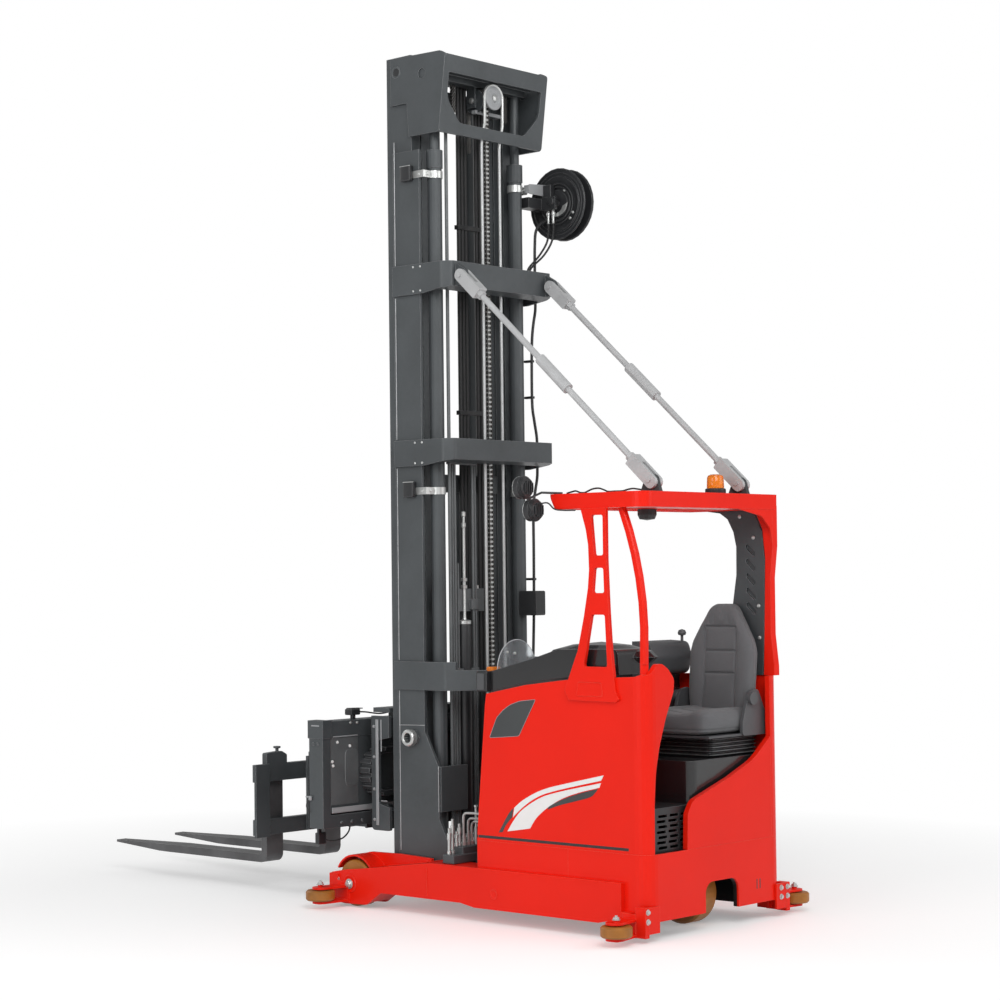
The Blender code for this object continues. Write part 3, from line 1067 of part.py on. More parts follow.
def add_carriage(truck, inner_out, inner_in):
    low, high = CARRIAGE_Z
    truck.add_frame("carriage", (0, 0, low), "inner_mast")
    parts = []
    inner_web = (inner_out + inner_in) / 2
    arm_y = inner_in - 0.012
    for sign in (-1, 1):
        side = fillet([(CARRIAGE_X[0], low, 0.01), (CARRIAGE_X[1] - 0.003, low, 0.02),
                       (CARRIAGE_X[1] - 0.003, high),
                       (CARRIAGE_X[0], high), (CARRIAGE_X[0], high - 0.120),
                       (CARRIAGE_X[1] - 0.055, high - 0.135, 0.02),
                       (CARRIAGE_X[1] - 0.055, low + 0.150, 0.02), (CARRIAGE_X[0], low + 0.130)], 3)
        shapes = [
            prism(side, "Y", CARRIAGE_HALF - 0.022, CARRIAGE_HALF),
            box((ROLLER_X - 0.040, CARRIAGE_X[1] - 0.010), (arm_y - 0.030, arm_y), (low + 0.04, high - 0.04)),
        ]
        for z in (low + 0.120, high - 0.120):
            shapes += roller(ROLLER_X, z, arm_y - 0.010, (inner_in + 0.001, inner_web - RAIL_T / 2 - 0.003))
        parts += shapes if sign > 0 else [mirrored(shape) for shape in shapes]
    for z0, z1 in ((low + 0.010, low + 0.110), (high - 0.110, high - 0.010)):
        parts.append(box((CARRIAGE_X[0] + 0.020, CARRIAGE_X[1]),
                         (-CARRIAGE_HALF + BITE, CARRIAGE_HALF - BITE), (z0, z1)))
    parts.append(box((1.955, 2.080), (-0.400, 0.420), (high + 0.020, high + 0.046)))
    parts.append(box((1.990, 2.060), (-0.300, 0.320), (high - 0.014, high + 0.024)))
    truck.add("lift_carriage", "mast_grey", parts, frame="carriage")

    low, high = TRAVERSE_Z
    rear, front = TRAVERSE_X
    parts = []
    lip = TRAVERSE_LIP
    web = TRAVERSE_WEB
    beam = [(rear, high), (front, high), (front, high - BEAM_TOP_H), (front - lip, high - BEAM_TOP_H),
            (front - lip, high - TRACK_T), (rear + web, high - TRACK_T), (rear + web, high - BEAM_TOP_H),
            (rear, high - BEAM_TOP_H)]
    foot = [(rear, low), (front, low), (front, low + BEAM_FOOT_H), (front - lip, low + BEAM_FOOT_H),
            (front - lip, low + TRACK_T), (rear + web, low + TRACK_T), (rear + web, low + BEAM_FOOT_H),
            (rear, low + BEAM_FOOT_H)]
    for outline in (beam, foot):
        parts.append(prism(outline, "Y", -TRAVERSE_HALF + 0.004, TRAVERSE_HALF - 0.004))
    for sign in (-1, 1):
        column = box((rear, front), (TRAVERSE_HALF - 0.060, TRAVERSE_HALF), (low, high))
        cap = box((rear - 0.006, front + 0.006), (TRAVERSE_HALF - 0.066, TRAVERSE_HALF + 0.005),
                  (high - 0.095, high + 0.006))
        parts += [column, cap] if sign > 0 else [mirrored(column), mirrored(cap)]
    parts.append(box((rear + 0.004, rear + 0.016), (-TRAVERSE_HALF + 0.03, TRAVERSE_HALF - 0.03),
                     (low + 0.08, high - 0.08)))
    for y in (-0.300, 0.280):
        parts.append(box((CARRIAGE_X[1] + SEAT, rear + BITE), (y - 0.020, y + 0.020),
                         (high - 0.100, high - 0.020)))
        parts.append(box((CARRIAGE_X[1] + SEAT, rear + BITE), (y - 0.020, y + 0.020),
                         (low + 0.030, low + 0.110)))
    truck.add("traverse_frame", "mast_grey", parts, frame="carriage")

    loop = []
    outer_r = 0.137
    inner_r = 0.105
    mid = (0.280, 0.725)
    teeth = 8
    for i in range(teeth):
        start = -90 + 180 * i / teeth
        for part_angle, radius in ((0.0, outer_r), (0.50, outer_r), (0.56, outer_r - 0.016),
                                   (0.94, outer_r - 0.016)):
            angle = math.radians(start + 180 / teeth * part_angle)
            loop.append((mid[0] + radius * math.cos(angle), mid[1] + radius * math.sin(angle)))
    loop += [(mid[0], mid[1] + outer_r), (-0.25, mid[1] + outer_r), (-0.25, mid[1] + inner_r)]
    loop += arc(mid[0], mid[1], inner_r, 90, -90, 12)
    loop += [(-0.25, mid[1] - inner_r), (-0.25, mid[1] - outer_r)]
    truck.add("energy_chain", "black_plastic", [prism(loop, "X", CARRIAGE_X[1] + 0.030, rear + BITE - SEAT)],
              frame="carriage")


def add_turret(truck):
    truck.add_frame("slider", (PIVOT_X, PIVOT_Y, TRAVERSE_Z[0]), "carriage")
    low, high = TRAVERSE_Z
    front = TRAVERSE_X[1]
    shoe_x = (TRAVERSE_X[0] + TRAVERSE_WEB + 0.008, front - TRAVERSE_LIP - 0.006)
    span = (PIVOT_Y - SLIDER_HALF, PIVOT_Y + SLIDER_HALF)
    parts = [
        box((front + 0.006, front + 0.018), span, (ARM_FOOT_Z[0] + 0.004, high - 0.030)),
        box((shoe_x[0] + 0.002, front + 0.010), (span[0] + 0.002, span[1] - 0.002),
            (low + BEAM_FOOT_H + 0.010, high - BEAM_TOP_H - 0.010)),
        box(shoe_x, (span[0] + 0.004, span[1] - 0.004), (low + TRACK_T + SEAT, low + BEAM_FOOT_H + 0.020)),
        box(shoe_x, (span[0] + 0.004, span[1] - 0.004), (high - BEAM_TOP_H - 0.020, high - TRACK_T - 0.005)),
    ]
    for z0, z1 in (ARM_TOP_Z, ARM_FOOT_Z):
        arm = [(front + 0.010, PIVOT_Y + ARM_HALF), (PIVOT_X, PIVOT_Y + ARM_HALF)]
        arm += arc(PIVOT_X, PIVOT_Y, ARM_HALF, 90, -90, 10)[1:]
        arm += [(front + 0.010, PIVOT_Y - ARM_HALF)]
        parts.append(prism(arm, "Z", z0, z1))
    parts.append(cylinder("Z", (PIVOT_X, PIVOT_Y, 0), PIVOT_PIN_R, ARM_FOOT_Z[0] + 0.01, ARM_TOP_Z[1] - 0.01,
                          24))
    truck.add("traverse_slider", "mast_grey", parts, frame="slider")

    truck.add_frame("turret", (PIVOT_X, PIVOT_Y, ARM_FOOT_Z[1]), "slider")
    hub_low = ARM_FOOT_Z[1] + SEAT
    hub_high = ARM_TOP_Z[0] - 0.001
    x0 = PIVOT_X
    y0 = PIVOT_Y
    bar_y = (y0 + BAR_Y[0], y0 + BAR_Y[1])
    bar = fillet([(x0 + BAR_X[0], bar_y[0]), (x0 + BAR_X[1], bar_y[0], 0.030),
                  (x0 + BAR_X[1], bar_y[1], 0.030), (x0 + BAR_X[0], bar_y[1])], 4)
    parts = [
        turned([(PIVOT_PIN_R + 2 * ROLL, hub_low), (HUB_R, hub_low), (HUB_R, hub_high),
                (PIVOT_PIN_R + 2 * ROLL, hub_high)], "Z", (x0, y0, 0), 32),
        box((x0 + HUB_R - 0.020, x0 + HEAD_PLATE_X[1] - 0.004), (y0 - 0.044, y0 + 0.044),
            (hub_low + 0.010, hub_high - 0.050)),
        box((x0 + HEAD_PLATE_X[0], x0 + HEAD_PLATE_X[1] + 0.002), (y0 - 0.060, y0 + 0.060),
            (LOWER_BAR_Z[0] + 0.004, UPPER_BAR_Z[1] + 0.030)),
        prism(bar, "Z", UPPER_BAR_Z[0], UPPER_BAR_Z[1]),
        prism(bar, "Z", LOWER_BAR_Z[0], LOWER_BAR_Z[1]),
    ]
    for sign, outer in ((-1, bar_y[0]), (1, bar_y[1])):
        plate_y = sorted((outer, outer - sign * FRAME_W))
        plate_z = (LOWER_BAR_Z[0] - 0.012, UPPER_BAR_Z[1] + 0.003)
        parts.append(box((x0 + BAR_X[0] - 0.006, x0 + BAR_X[0] + 0.010), plate_y, plate_z))
        inner = outer - sign * 0.250
        latch = fillet([(inner, UPPER_BAR_Z[1] - 0.006), (inner, 0.790, 0.01),
                        (inner + sign * 0.040, 0.812, 0.02),
                        (inner + sign * 0.160, 0.805, 0.01),
                        (inner + sign * 0.160, UPPER_BAR_Z[1] - 0.006)], 3)
        parts.append(prism(latch, "X", x0 + BAR_X[0], x0 + BAR_X[1] - 0.004))
        knob_place = (x0 + (BAR_X[0] + BAR_X[1]) / 2, inner + sign * 0.060, 0)
        parts.append(turned([(0, 0.800), (0.010, 0.800), (0.010, 0.826), (0.022, 0.830), (0.022, 0.840),
                             (0, 0.842)],
                            "Z", knob_place, 10))
    truck.add("fork_carriage", "mast_grey", parts, frame="turret")

    back = x0 + BAR_X[1] + SEAT
    blade = FORK_Z + FORK_T
    for name, offset in zip(("right", "left"), FORK_Y):
        centre = y0 + offset
        side = fillet([(back, UPPER_BAR_Z[1] - 0.006), (back, FORK_Z, HEEL_R), (FORK_TIP_X - 0.45, FORK_Z),
                       (FORK_TIP_X, FORK_Z + 0.022), (FORK_TIP_X, blade - 0.010), (FORK_TIP_X - 0.60, blade),
                       (back + FORK_T, blade, 0.020), (back + FORK_T, UPPER_BAR_Z[1] - 0.006)], 5)
        blade_mesh = prism(side, "Y", centre - FORK_W / 2, centre + FORK_W / 2)
        taper = []
        for edge in (-1, 1):
            wedge = [(FORK_TIP_X - 0.55, centre + edge * (FORK_W / 2)),
                     (FORK_TIP_X + 0.01, centre + edge * 0.034),
                     (FORK_TIP_X + 0.01, centre + edge * 0.20), (FORK_TIP_X - 0.55, centre + edge * 0.20)]
            taper.append(prism(wedge, "Z", 0.0, 0.5))
        truck.add("fork_" + name, "fork_steel", [blade_mesh], taper, frame="turret")


def add_fittings(truck):
    reel_y = -0.590
    reel_x = 1.500
    reel_z = 3.985
    parts = [
        turned([(0.018, -0.045), (0.205, -0.045), (0.210, -0.038), (0.205, -0.028), (0.150, -0.022),
                (0.150, 0.022),
                (0.205, 0.028), (0.210, 0.038), (0.205, 0.044), (0.165, 0.036), (0.160, 0.044),
                (0.130, 0.032),
                (0.085, 0.032), (0.080, 0.046), (0.018, 0.046)], "Y", (reel_x, reel_y, reel_z), 28),
        cylinder("Y", (reel_x, 0, reel_z), 0.019, reel_y - 0.055, reel_y + 0.094, 12),
        box((reel_x - 0.032, CYL_X - 0.020), (reel_y + 0.080, reel_y + 0.100),
            (reel_z - 0.038, reel_z + 0.038)),
        box((CYL_X - 0.070, CYL_X + 0.012), (reel_y + 0.090, -CYL_Y - CYL_R - SEAT),
            (reel_z - 0.030, reel_z + 0.030)),
    ]
    truck.add("hose_reel", "black_plastic", parts)

    z = LINK_TOP + SEAT
    parts = [box((1.240, FOOT_REAR - 0.012), (-0.20, 0.40), (z, z + 0.080))]
    for i in range(5):
        y = 0.340 - i * 0.045
        parts.append(box((1.300, 1.420), (y - 0.016, y + 0.016), (z + 0.075, z + 0.170)))
    truck.add("valve_block", "grey_plastic", parts)

    truck.add("control_box", "black_plastic",
              [prism(rectangle((0.455, 0.570), (1.215, 1.322), 0.012), "X", HOOD_FACE + SEAT, 1.150)])

    shield = ([(0.215, 1.2185)] + [(0.435, 1.2185)] + [(0.435, 1.330)]
              + arc(0.325, 1.330, 0.155, 0, 180, 16) + [(0.215, 1.330)])
    truck.add("hood_shield", "clear_plastic", [prism(shield, "X", HOOD_FACE + SEAT, HOOD_FACE + 0.006)])

    truck.add("sensor_box", "black_plastic",
              [prism(rectangle((1.470, CYL_X - CYL_R - SEAT), (1.600, 1.740), 0.010), "Y",
                     -CYL_Y - 0.030, -CYL_Y + 0.050)])


def main():
    clear_scene()
    truck = Truck()
    add_chassis(truck)
    add_outriggers(truck)
    add_wheels(truck)
    add_panels(truck)
    add_cabin(truck)
    add_seat(truck)
    add_guard(truck)
    add_stays(truck)
    inner_out, inner_in = add_mast(truck)
    add_carriage(truck, inner_out, inner_in)
    add_turret(truck)
    add_fittings(truck)


main()
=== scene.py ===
"""Looks of the turret truck: finishes, seat cloth, hoses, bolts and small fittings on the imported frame.

Metres, +Z up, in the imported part's own frame. Places written from the truck's rear face go through
at(), which moves them to that frame.
"""
import json
import math

import bmesh
import bpy
from mathutils import Matrix, Vector, noise


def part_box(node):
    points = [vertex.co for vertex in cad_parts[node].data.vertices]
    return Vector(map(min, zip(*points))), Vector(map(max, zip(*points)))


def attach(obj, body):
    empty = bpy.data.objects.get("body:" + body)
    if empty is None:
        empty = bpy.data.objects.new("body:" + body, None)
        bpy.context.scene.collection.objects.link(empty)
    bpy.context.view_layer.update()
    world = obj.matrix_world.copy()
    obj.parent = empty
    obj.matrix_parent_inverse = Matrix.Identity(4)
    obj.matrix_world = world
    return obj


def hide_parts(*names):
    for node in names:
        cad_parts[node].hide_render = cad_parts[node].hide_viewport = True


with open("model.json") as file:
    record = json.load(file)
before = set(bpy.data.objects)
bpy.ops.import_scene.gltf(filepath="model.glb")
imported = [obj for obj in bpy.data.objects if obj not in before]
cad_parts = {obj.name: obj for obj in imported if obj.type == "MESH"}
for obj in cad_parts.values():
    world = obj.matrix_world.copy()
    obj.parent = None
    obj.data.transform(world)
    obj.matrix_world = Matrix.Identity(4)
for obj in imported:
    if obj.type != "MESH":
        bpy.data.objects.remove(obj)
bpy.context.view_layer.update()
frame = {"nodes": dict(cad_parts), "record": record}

CENTRE_X = 2.188           # from the rear face of the chassis to the frame's origin

# Camera, as the photograph was taken
CAMERA_PLACE = (-9.246, 9.435, 1.825)
CAMERA_YAW = -47.858       # degrees from +X
CAMERA_PITCH = 1.925
CAMERA_ROLL = -0.667
CAMERA_LENS = 81.75        # mm on a 36 mm sensor


def at(x, y, z):
    """A place measured from the rear face of the chassis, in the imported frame."""
    return Vector((x - CENTRE_X, y, z))


# Materials

def new_material(name):
    material = bpy.data.materials.new(name)
    material.use_nodes = True
    return material, material.node_tree, material.node_tree.nodes["Principled BSDF"]


def feed(tree, socket, value):
    """Links an output to a socket, or sets a plain value on it."""
    if isinstance(value, bpy.types.NodeSocket):
        tree.links.new(value, socket)
    else:
        socket.default_value = value


def node(tree, kind, *sockets, **values):
    """A shader node: sockets fill its inputs in order, values its named inputs or its settings."""
    made = tree.nodes.new("ShaderNode" + kind)
    for socket, value in zip(made.inputs, sockets):
        feed(tree, socket, value)
    for key, value in values.items():
        title = key.replace("_", " ")
        if title in made.inputs.keys():
            feed(tree, made.inputs[title], value)
        else:
            setattr(made, key, value)
    return made


def dress(tree, shader, look):
    for title, value in look.items():
        feed(tree, shader.inputs[title], value)


def maths(tree, operation, *values):
    return node(tree, "Math", *values, operation=operation).outputs["Value"]


def object_coordinates(tree, scale=(1, 1, 1)):
    place = node(tree, "TexCoord").outputs["Object"]
    return node(tree, "Mapping", Vector=place, Scale=scale).outputs["Vector"]


def noise_field(tree, vector, scale, detail=4.0, roughness=0.55):
    return node(tree, "TexNoise", Vector=vector, Scale=scale, Detail=detail,
                Roughness=roughness).outputs["Fac"]


def ramp(tree, factor, low, high, start=0.3, end=0.7):
    made = node(tree, "MapRange", Value=factor, From_Min=start, From_Max=end, To_Min=low, To_Max=high)
    return made.outputs["Result"]


def mix_colours(tree, factor, first, second):
    made = node(tree, "Mix", data_type="RGBA")
    feed(tree, [i for i in made.inputs if i.name == "Factor" and i.type == "VALUE"][0], factor)
    for title, value in (("A", first), ("B", second)):
        socket = [i for i in made.inputs if i.name == title and i.type == "RGBA"][0]
        feed(tree, socket, (*value[:3], 1.0) if isinstance(value, (tuple, list)) else value)
    return [o for o in made.outputs if o.type == "RGBA"][0]


def soft_edges(tree, radius):
    """The surface normal with its edges rounded, and a mask that is 1 along them."""
    normal = node(tree, "Bevel", samples=4, Radius=radius).outputs["Normal"]
    flat = node(tree, "NewGeometry").outputs["Normal"]
    facing = node(tree, "VectorMath", normal, flat, operation="DOT_PRODUCT").outputs["Value"]
    return normal, ramp(tree, facing, 1.0, 0.0, 0.80, 0.97)


def bumped(tree, height, normal, strength, distance):
    made = node(tree, "Bump", Strength=strength, Distance=distance, Height=height)
    if normal is not None:
        feed(tree, made.inputs["Normal"], normal)
    return made.outputs["Normal"]


def shaded(colour, factor):
    return tuple(min(1.0, c * factor) for c in colour)


def painted(name, colour, rough=0.3, metal=0.0, coat=0.0, grain=900.0, grain_depth=0.00004, edge_radius=0.003,
            shade=0.75, edge_colour=None, edge_amount=0.35, patch=2.2, specular=0.5, specks=6.0):
    """A painted or moulded surface: colour in soft patches, fine grain, and lighter edges that are partly
    rubbed wear and partly a painted highlight.
    """
    material, tree, shader = new_material(name)
    vector = object_coordinates(tree)
    broad = noise_field(tree, vector, patch, 5.0)
    fine = noise_field(tree, vector, grain, 2.0)
    speck = noise_field(tree, vector, 38.0, specks, 0.7)
    base = mix_colours(tree, ramp(tree, broad, 0.0, 1.0, 0.25, 0.65), shaded(colour, shade), colour)
    normal = None
    if edge_radius:
        normal, edge = soft_edges(tree, edge_radius)
        # Lighter colour along the edges: partly rubbed wear, partly a painted highlight.
        wear_and_highlight = maths(tree, "MULTIPLY", edge, ramp(tree, speck, edge_amount * 0.4, edge_amount, 0.35, 0.7))
        base = mix_colours(tree, wear_and_highlight, base, edge_colour or tuple(min(1.0, c * 1.25 + 0.02) for c in colour))
    look = {"Base Color": base, "Metallic": metal, "Specular IOR Level": specular, "Coat Weight": coat,
            "Roughness": ramp(tree, speck, rough * 0.85, min(1.0, rough * 1.2)), "Coat Roughness": 0.12,
            "Normal": bumped(tree, fine, normal, 0.6, grain_depth)}
    dress(tree, shader, look)
    return material


def brushed(name, colour, rough=0.32, metal=1.0, along=(1, 1, 18), grooves=0.0002, fleck=60.0, dull=0.62):
    """Bare or zinc-plated metal with drawn streaks and dull spots."""
    material, tree, shader = new_material(name)
    streak = noise_field(tree, object_coordinates(tree, along), fleck, 5.0, 0.7)
    spots = noise_field(tree, object_coordinates(tree), 9.0, 6.0)
    look = {"Base Color": mix_colours(tree, ramp(tree, spots, 0.0, 1.0), shaded(colour, dull), colour),
            "Roughness": ramp(tree, streak, rough * 0.85, rough * 1.25), "Metallic": metal,
            "Normal": bumped(tree, streak, soft_edges(tree, 0.0015)[0], 0.35, grooves)}
    dress(tree, shader, look)
    return material


def cloth(name, colour, weave=420.0):
    """Woven seat cloth: crossed threads, flecks and a soft sheen."""
    material, tree, shader = new_material(name)
    vector = object_coordinates(tree)
    threads = []
    for turn in (0.785, -0.785):
        turned_place = node(tree, "Mapping", Vector=vector,
                            Rotation=(turn, turn * 0.6, turn)).outputs["Vector"]
        wave = node(tree, "TexWave", Vector=turned_place, Scale=weave, Distortion=1.2, Detail=1.0)
        threads.append(wave.outputs["Fac"])
    weft = maths(tree, "MAXIMUM", *threads)
    fleck = noise_field(tree, vector, 260.0, 3.0, 0.8)
    broad = noise_field(tree, vector, 7.0, 4.0)
    base = mix_colours(tree, weft, shaded(colour, 0.45), colour)
    base = mix_colours(tree, ramp(tree, fleck, 0.0, 0.55, 0.5, 0.8), base, shaded(colour, 1.5))
    base = mix_colours(tree, ramp(tree, broad, 0.0, 0.35), base, shaded(colour, 1.15))
    look = {"Base Color": base, "Roughness": 0.95, "Sheen Weight": 0.25, "Sheen Roughness": 0.4,
            "Normal": bumped(tree, weft, None, 0.7, 0.0006)}
    dress(tree, shader, look)
    return material


def clear(name, colour, transmission=0.85, rough=0.03):
    """Clear or tinted plastic, a little smeared."""
    material, tree, shader = new_material(name)
    smear = noise_field(tree, object_coordinates(tree), 14.0, 5.0)
    look = {"Base Color": mix_colours(tree, ramp(tree, smear, 0.0, 1.0), shaded(colour, 0.96), colour),
            "Roughness": ramp(tree, smear, rough, rough + 0.09), "Transmission Weight": transmission,
            "IOR": 1.46}
    dress(tree, shader, look)
    return material


RED = (0.80, 0.014, 0.004)
MAST = (0.066, 0.074, 0.079)


# The pale pink edge colour paints highlights along the red's edges, partly also wear.
def red_paint(name):
    return painted(name, RED, rough=0.34, coat=0.05, specular=0.16, grain=420.0, grain_depth=0.00003,
                   shade=0.93, edge_colour=(1.0, 0.17, 0.11), edge_amount=0.75)


def part_dark(material, colour, tests):
    """Lays a second colour over a finish, where the place passes every (axis, test, limit)."""
    tree = material.node_tree
    socket = tree.nodes["Principled BSDF"].inputs["Base Color"]
    parts = node(tree, "SeparateXYZ", object_coordinates(tree))
    passed = 1.0
    for axis, test, limit in tests:
        size = parts.outputs[axis]
        if axis == "Y":
            size = maths(tree, "ABSOLUTE", size)
        passed = maths(tree, "MULTIPLY", passed, maths(tree, test, size, limit))
    feed(tree, socket, mix_colours(tree, passed, socket.links[0].from_socket, colour))
    return material


# Each finish's lighter edge colour is partly wear and partly a painted highlight along its edges.
MATERIALS = {
    "body_red": red_paint("body_red"),
    "mast_grey": painted("mast_grey", MAST, rough=0.5, metal=0.15, coat=0.1, grain=300.0, grain_depth=0.0001,
                         shade=0.72, edge_colour=(0.34, 0.35, 0.36), edge_amount=0.95, patch=3.0,
                         edge_radius=0.0045),
    "black_plastic": painted("black_plastic", (0.020, 0.021, 0.023), rough=0.40, grain=1400.0,
                             grain_depth=0.00012, shade=0.75, edge_colour=(0.20, 0.205, 0.21),
                             edge_amount=0.9, edge_radius=0.004),
    "grey_plastic": painted("grey_plastic", (0.075, 0.078, 0.083), rough=0.45, grain=1200.0,
                            grain_depth=0.0001, shade=0.8, edge_colour=(0.22, 0.225, 0.23), edge_amount=0.8),
    "polyurethane": painted("polyurethane", (0.40, 0.150, 0.016), rough=0.45, grain=500.0, grain_depth=0.0001,
                            shade=0.6, edge_colour=(0.5, 0.24, 0.06), edge_amount=0.7, patch=9.0),
    "steel": brushed("steel", (0.50, 0.51, 0.51), rough=0.40, metal=0.7, along=(1, 1, 1), grooves=0.00001,
                     fleck=300.0, dull=0.85),
    "fork_steel": painted("fork_steel", (0.125, 0.124, 0.128), rough=0.42, metal=0.4, grain=160.0,
                          grain_depth=0.0002, shade=0.6, edge_colour=(0.32, 0.32, 0.32), edge_amount=0.8,
                          patch=6.0),
    "seat_fabric": cloth("seat_fabric", (0.135, 0.138, 0.145)),
    "rubber": painted("rubber", (0.016, 0.016, 0.017), rough=0.5, grain=800.0, grain_depth=0.0001, shade=0.7,
                      edge_colour=(0.12, 0.12, 0.125), edge_amount=0.7),
    "amber_lens": clear("amber_lens", (1.0, 0.30, 0.02), 0.45, 0.06),
    "clear_plastic": clear("clear_plastic", (0.86, 0.90, 0.93), 0.9),
    "battery_case": painted("battery_case", (0.03, 0.035, 0.04), rough=0.6),
}

CHAIN_STEEL = brushed("chain_steel", (0.15, 0.145, 0.14), rough=0.42, metal=0.8)
BRIGHT = brushed("bright_steel", (0.60, 0.61, 0.60), rough=0.34, metal=0.8, along=(1, 1, 1), grooves=0.00001,
                 fleck=420.0, dull=0.86)
# The weld beads' light metal colour is a painted highlight: the light line along the seams.
WELD_HIGHLIGHT = brushed("weld_bead_highlight", (0.50, 0.51, 0.52), rough=0.40, metal=0.5, along=(1, 1, 1), grooves=0.0001)
# The pale edge colours of the gloss black, plate grey, link plastic and ribbed rubber are painted highlights
# along their edges, partly also wear.
GLOSS_BLACK = painted("gloss_black", (0.014, 0.014, 0.015), rough=0.22, coat=0.3,
                      edge_colour=(0.16, 0.16, 0.17), edge_amount=0.8, edge_radius=0.006)
DARK_PAINT = painted("stripe_shadow", (0.045, 0.050, 0.052), rough=0.4)
WHITE_PAINT = painted("stripe_white", (0.80, 0.80, 0.79), rough=0.38, shade=0.93)
LIGHT_GREY = painted("light_grey", (0.33, 0.34, 0.35), rough=0.4, shade=0.8)
PLATE_GREY = painted("plate_grey", (0.13, 0.138, 0.142), rough=0.45, metal=0.2, shade=0.75, patch=7.0,
                     edge_colour=(0.4, 0.41, 0.42), edge_amount=0.9)
LINK_PLASTIC = painted("link_plastic", (0.050, 0.052, 0.055), rough=0.4, edge_colour=(0.42, 0.43, 0.44),
                       edge_amount=1.0, edge_radius=0.006)
SATIN = painted("satin_silver", (0.47, 0.475, 0.48), rough=0.42, metal=0.1, grain=50.0, grain_depth=0.00002,
                shade=0.86, edge_radius=0.0, patch=9.0, specks=0.0)
RIBBED = painted("ribbed_rubber", (0.022, 0.022, 0.023), rough=0.30, coat=0.15,
                 edge_colour=(0.30, 0.31, 0.31), edge_amount=1.0, edge_radius=0.0045)
LENS = clear("lamp_lens", (0.92, 0.93, 0.95), 0.5, 0.04)

BAY_SKIN = 0.012           # depth to which the drive bay's rear and sides show the body's red
BAY_HALF = 0.500
LUG_FOOT = 2.2470          # height at which the stays' dark lugs begin
# Inside the drive bay, past the red skin, the finish turns near-black: painted shade in the wheel well.
BAY_PAINTED_SHADE = part_dark(red_paint("bay_painted_shade"), (0.012, 0.012, 0.013),
                      [("X", "GREATER_THAN", BAY_SKIN - CENTRE_X), ("Y", "LESS_THAN", BAY_HALF)])
ROOF_PAINT = part_dark(red_paint("roof_paint"), (0.055, 0.058, 0.060), [("Z", "GREATER_THAN", LUG_FOOT)])

OTHER_FINISH = {"mast_chain": CHAIN_STEEL, "energy_chain": LINK_PLASTIC, "seat_pedestal": GLOSS_BLACK,
                "top_cover": GLOSS_BLACK, "seat_suspension": RIBBED, "stay_left": SATIN, "stay_right": SATIN,
                "drive_bay": BAY_PAINTED_SHADE, "guard_roof": ROOF_PAINT}


def finish_cad_nodes():
    for entry in frame["record"]["subparts"]:
        name = entry["node"]
        slot = entry["material_slot"]
        piece = frame["nodes"][name]
        piece.data.materials.clear()
        piece.data.materials.append(OTHER_FINISH.get(name, MATERIALS[slot]))


# Shapes. Places are measured from the truck's rear face and floor, and go through at() here.

UP = (0, 0, 1)
LEFT = (0, 1, 0)
AHEAD = (1, 0, 0)
BACK = (-1, 0, 0)
SIDES = (-1, 1)            # right and left


def new_piece(name, bm, slot=None, finish=None, body="truck", sharp=35.0):
    """Turns a bmesh into a piece that rides on a body, in its slot's own finish or in another one."""
    bmesh.ops.recalc_face_normals(bm, faces=bm.faces)
    mesh = bpy.data.meshes.new(name)
    bm.to_mesh(mesh)
    bm.free()
    mesh.materials.append(finish or MATERIALS[slot])
    mesh.shade_smooth()
    mesh.set_sharp_from_angle(angle=math.radians(sharp))
    piece = bpy.data.objects.new(name, mesh)
    bpy.context.scene.collection.objects.link(piece)
    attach(piece, body)
    return piece


def make(name, forms, *looks, **more):
    """A piece from a list of forms: each is a function of this section and its values after the bmesh."""
    bm = bmesh.new()
    for form, *values in forms:
        form(bm, *values)
    return new_piece(name, bm, *looks, **more)


def smooth_line(points, steps=6):
    """A smooth curve through the points, as a list with steps places per span."""
    points = [Vector(p) for p in points]
    ends = [points[0] * 2 - points[1]] + points + [points[-1] * 2 - points[-2]]
    out = []
    for i in range(1, len(ends) - 2):
        a, b, c, d = ends[i - 1:i + 3]
        for k in range(steps):
            t = k / steps
            out.append(0.5 * (2 * b + (c - a) * t + (2 * a - 5 * b + 4 * c - d) * t * t
                              + (3 * b - a - 3 * c + d) * t * t * t))
    out.append(points[-1])
    return out


def arc(centre, radius, axes, angles):
    """Places on a circle about a centre, in the plane of two axes (0 is x), at angles in degrees."""
    out = []
    for angle in angles:
        place = list(centre)
        place[axes[0]] += radius * math.cos(math.radians(angle))
        place[axes[1]] += radius * math.sin(math.radians(angle))
        out.append(place)
    return out


def rounded(corners, radius, steps=4):
    """A closed outline with every corner rounded."""
    out = []
    count = len(corners)
    for i, corner in enumerate(corners):
        here = Vector(corner)
        back = Vector(corners[i - 1]) - here
        ahead = Vector(corners[(i + 1) % count]) - here
        reach = min(radius, back.length * 0.45, ahead.length * 0.45)
        first = here + back.normalized() * reach
        last = here + ahead.normalized() * reach
        for k in range(steps + 1):
            t = k / steps
            out.append(first.lerp(here, t).lerp(here.lerp(last, t), t))
    return out


def box_corners(low, high):
    return [(low[0], low[1]), (high[0], low[1]), (high[0], high[1]), (low[0], high[1])]


def loft(bm, rings, close=False):
    """Skins rings of equal length and caps both ends, or joins the last ring to the first."""
    made = [[bm.verts.new(p) for p in ring] for ring in rings]
    count = len(made[0])
    pairs = list(zip(made, made[1:]))
    if close:
        pairs.append((made[-1], made[0]))
    for one, two in pairs:
        for k in range(count):
            n = (k + 1) % count
            bm.faces.new((one[k], one[n], two[n], two[k]))
    if not close:
        bm.faces.new(made[0])
        bm.faces.new(made[-1])


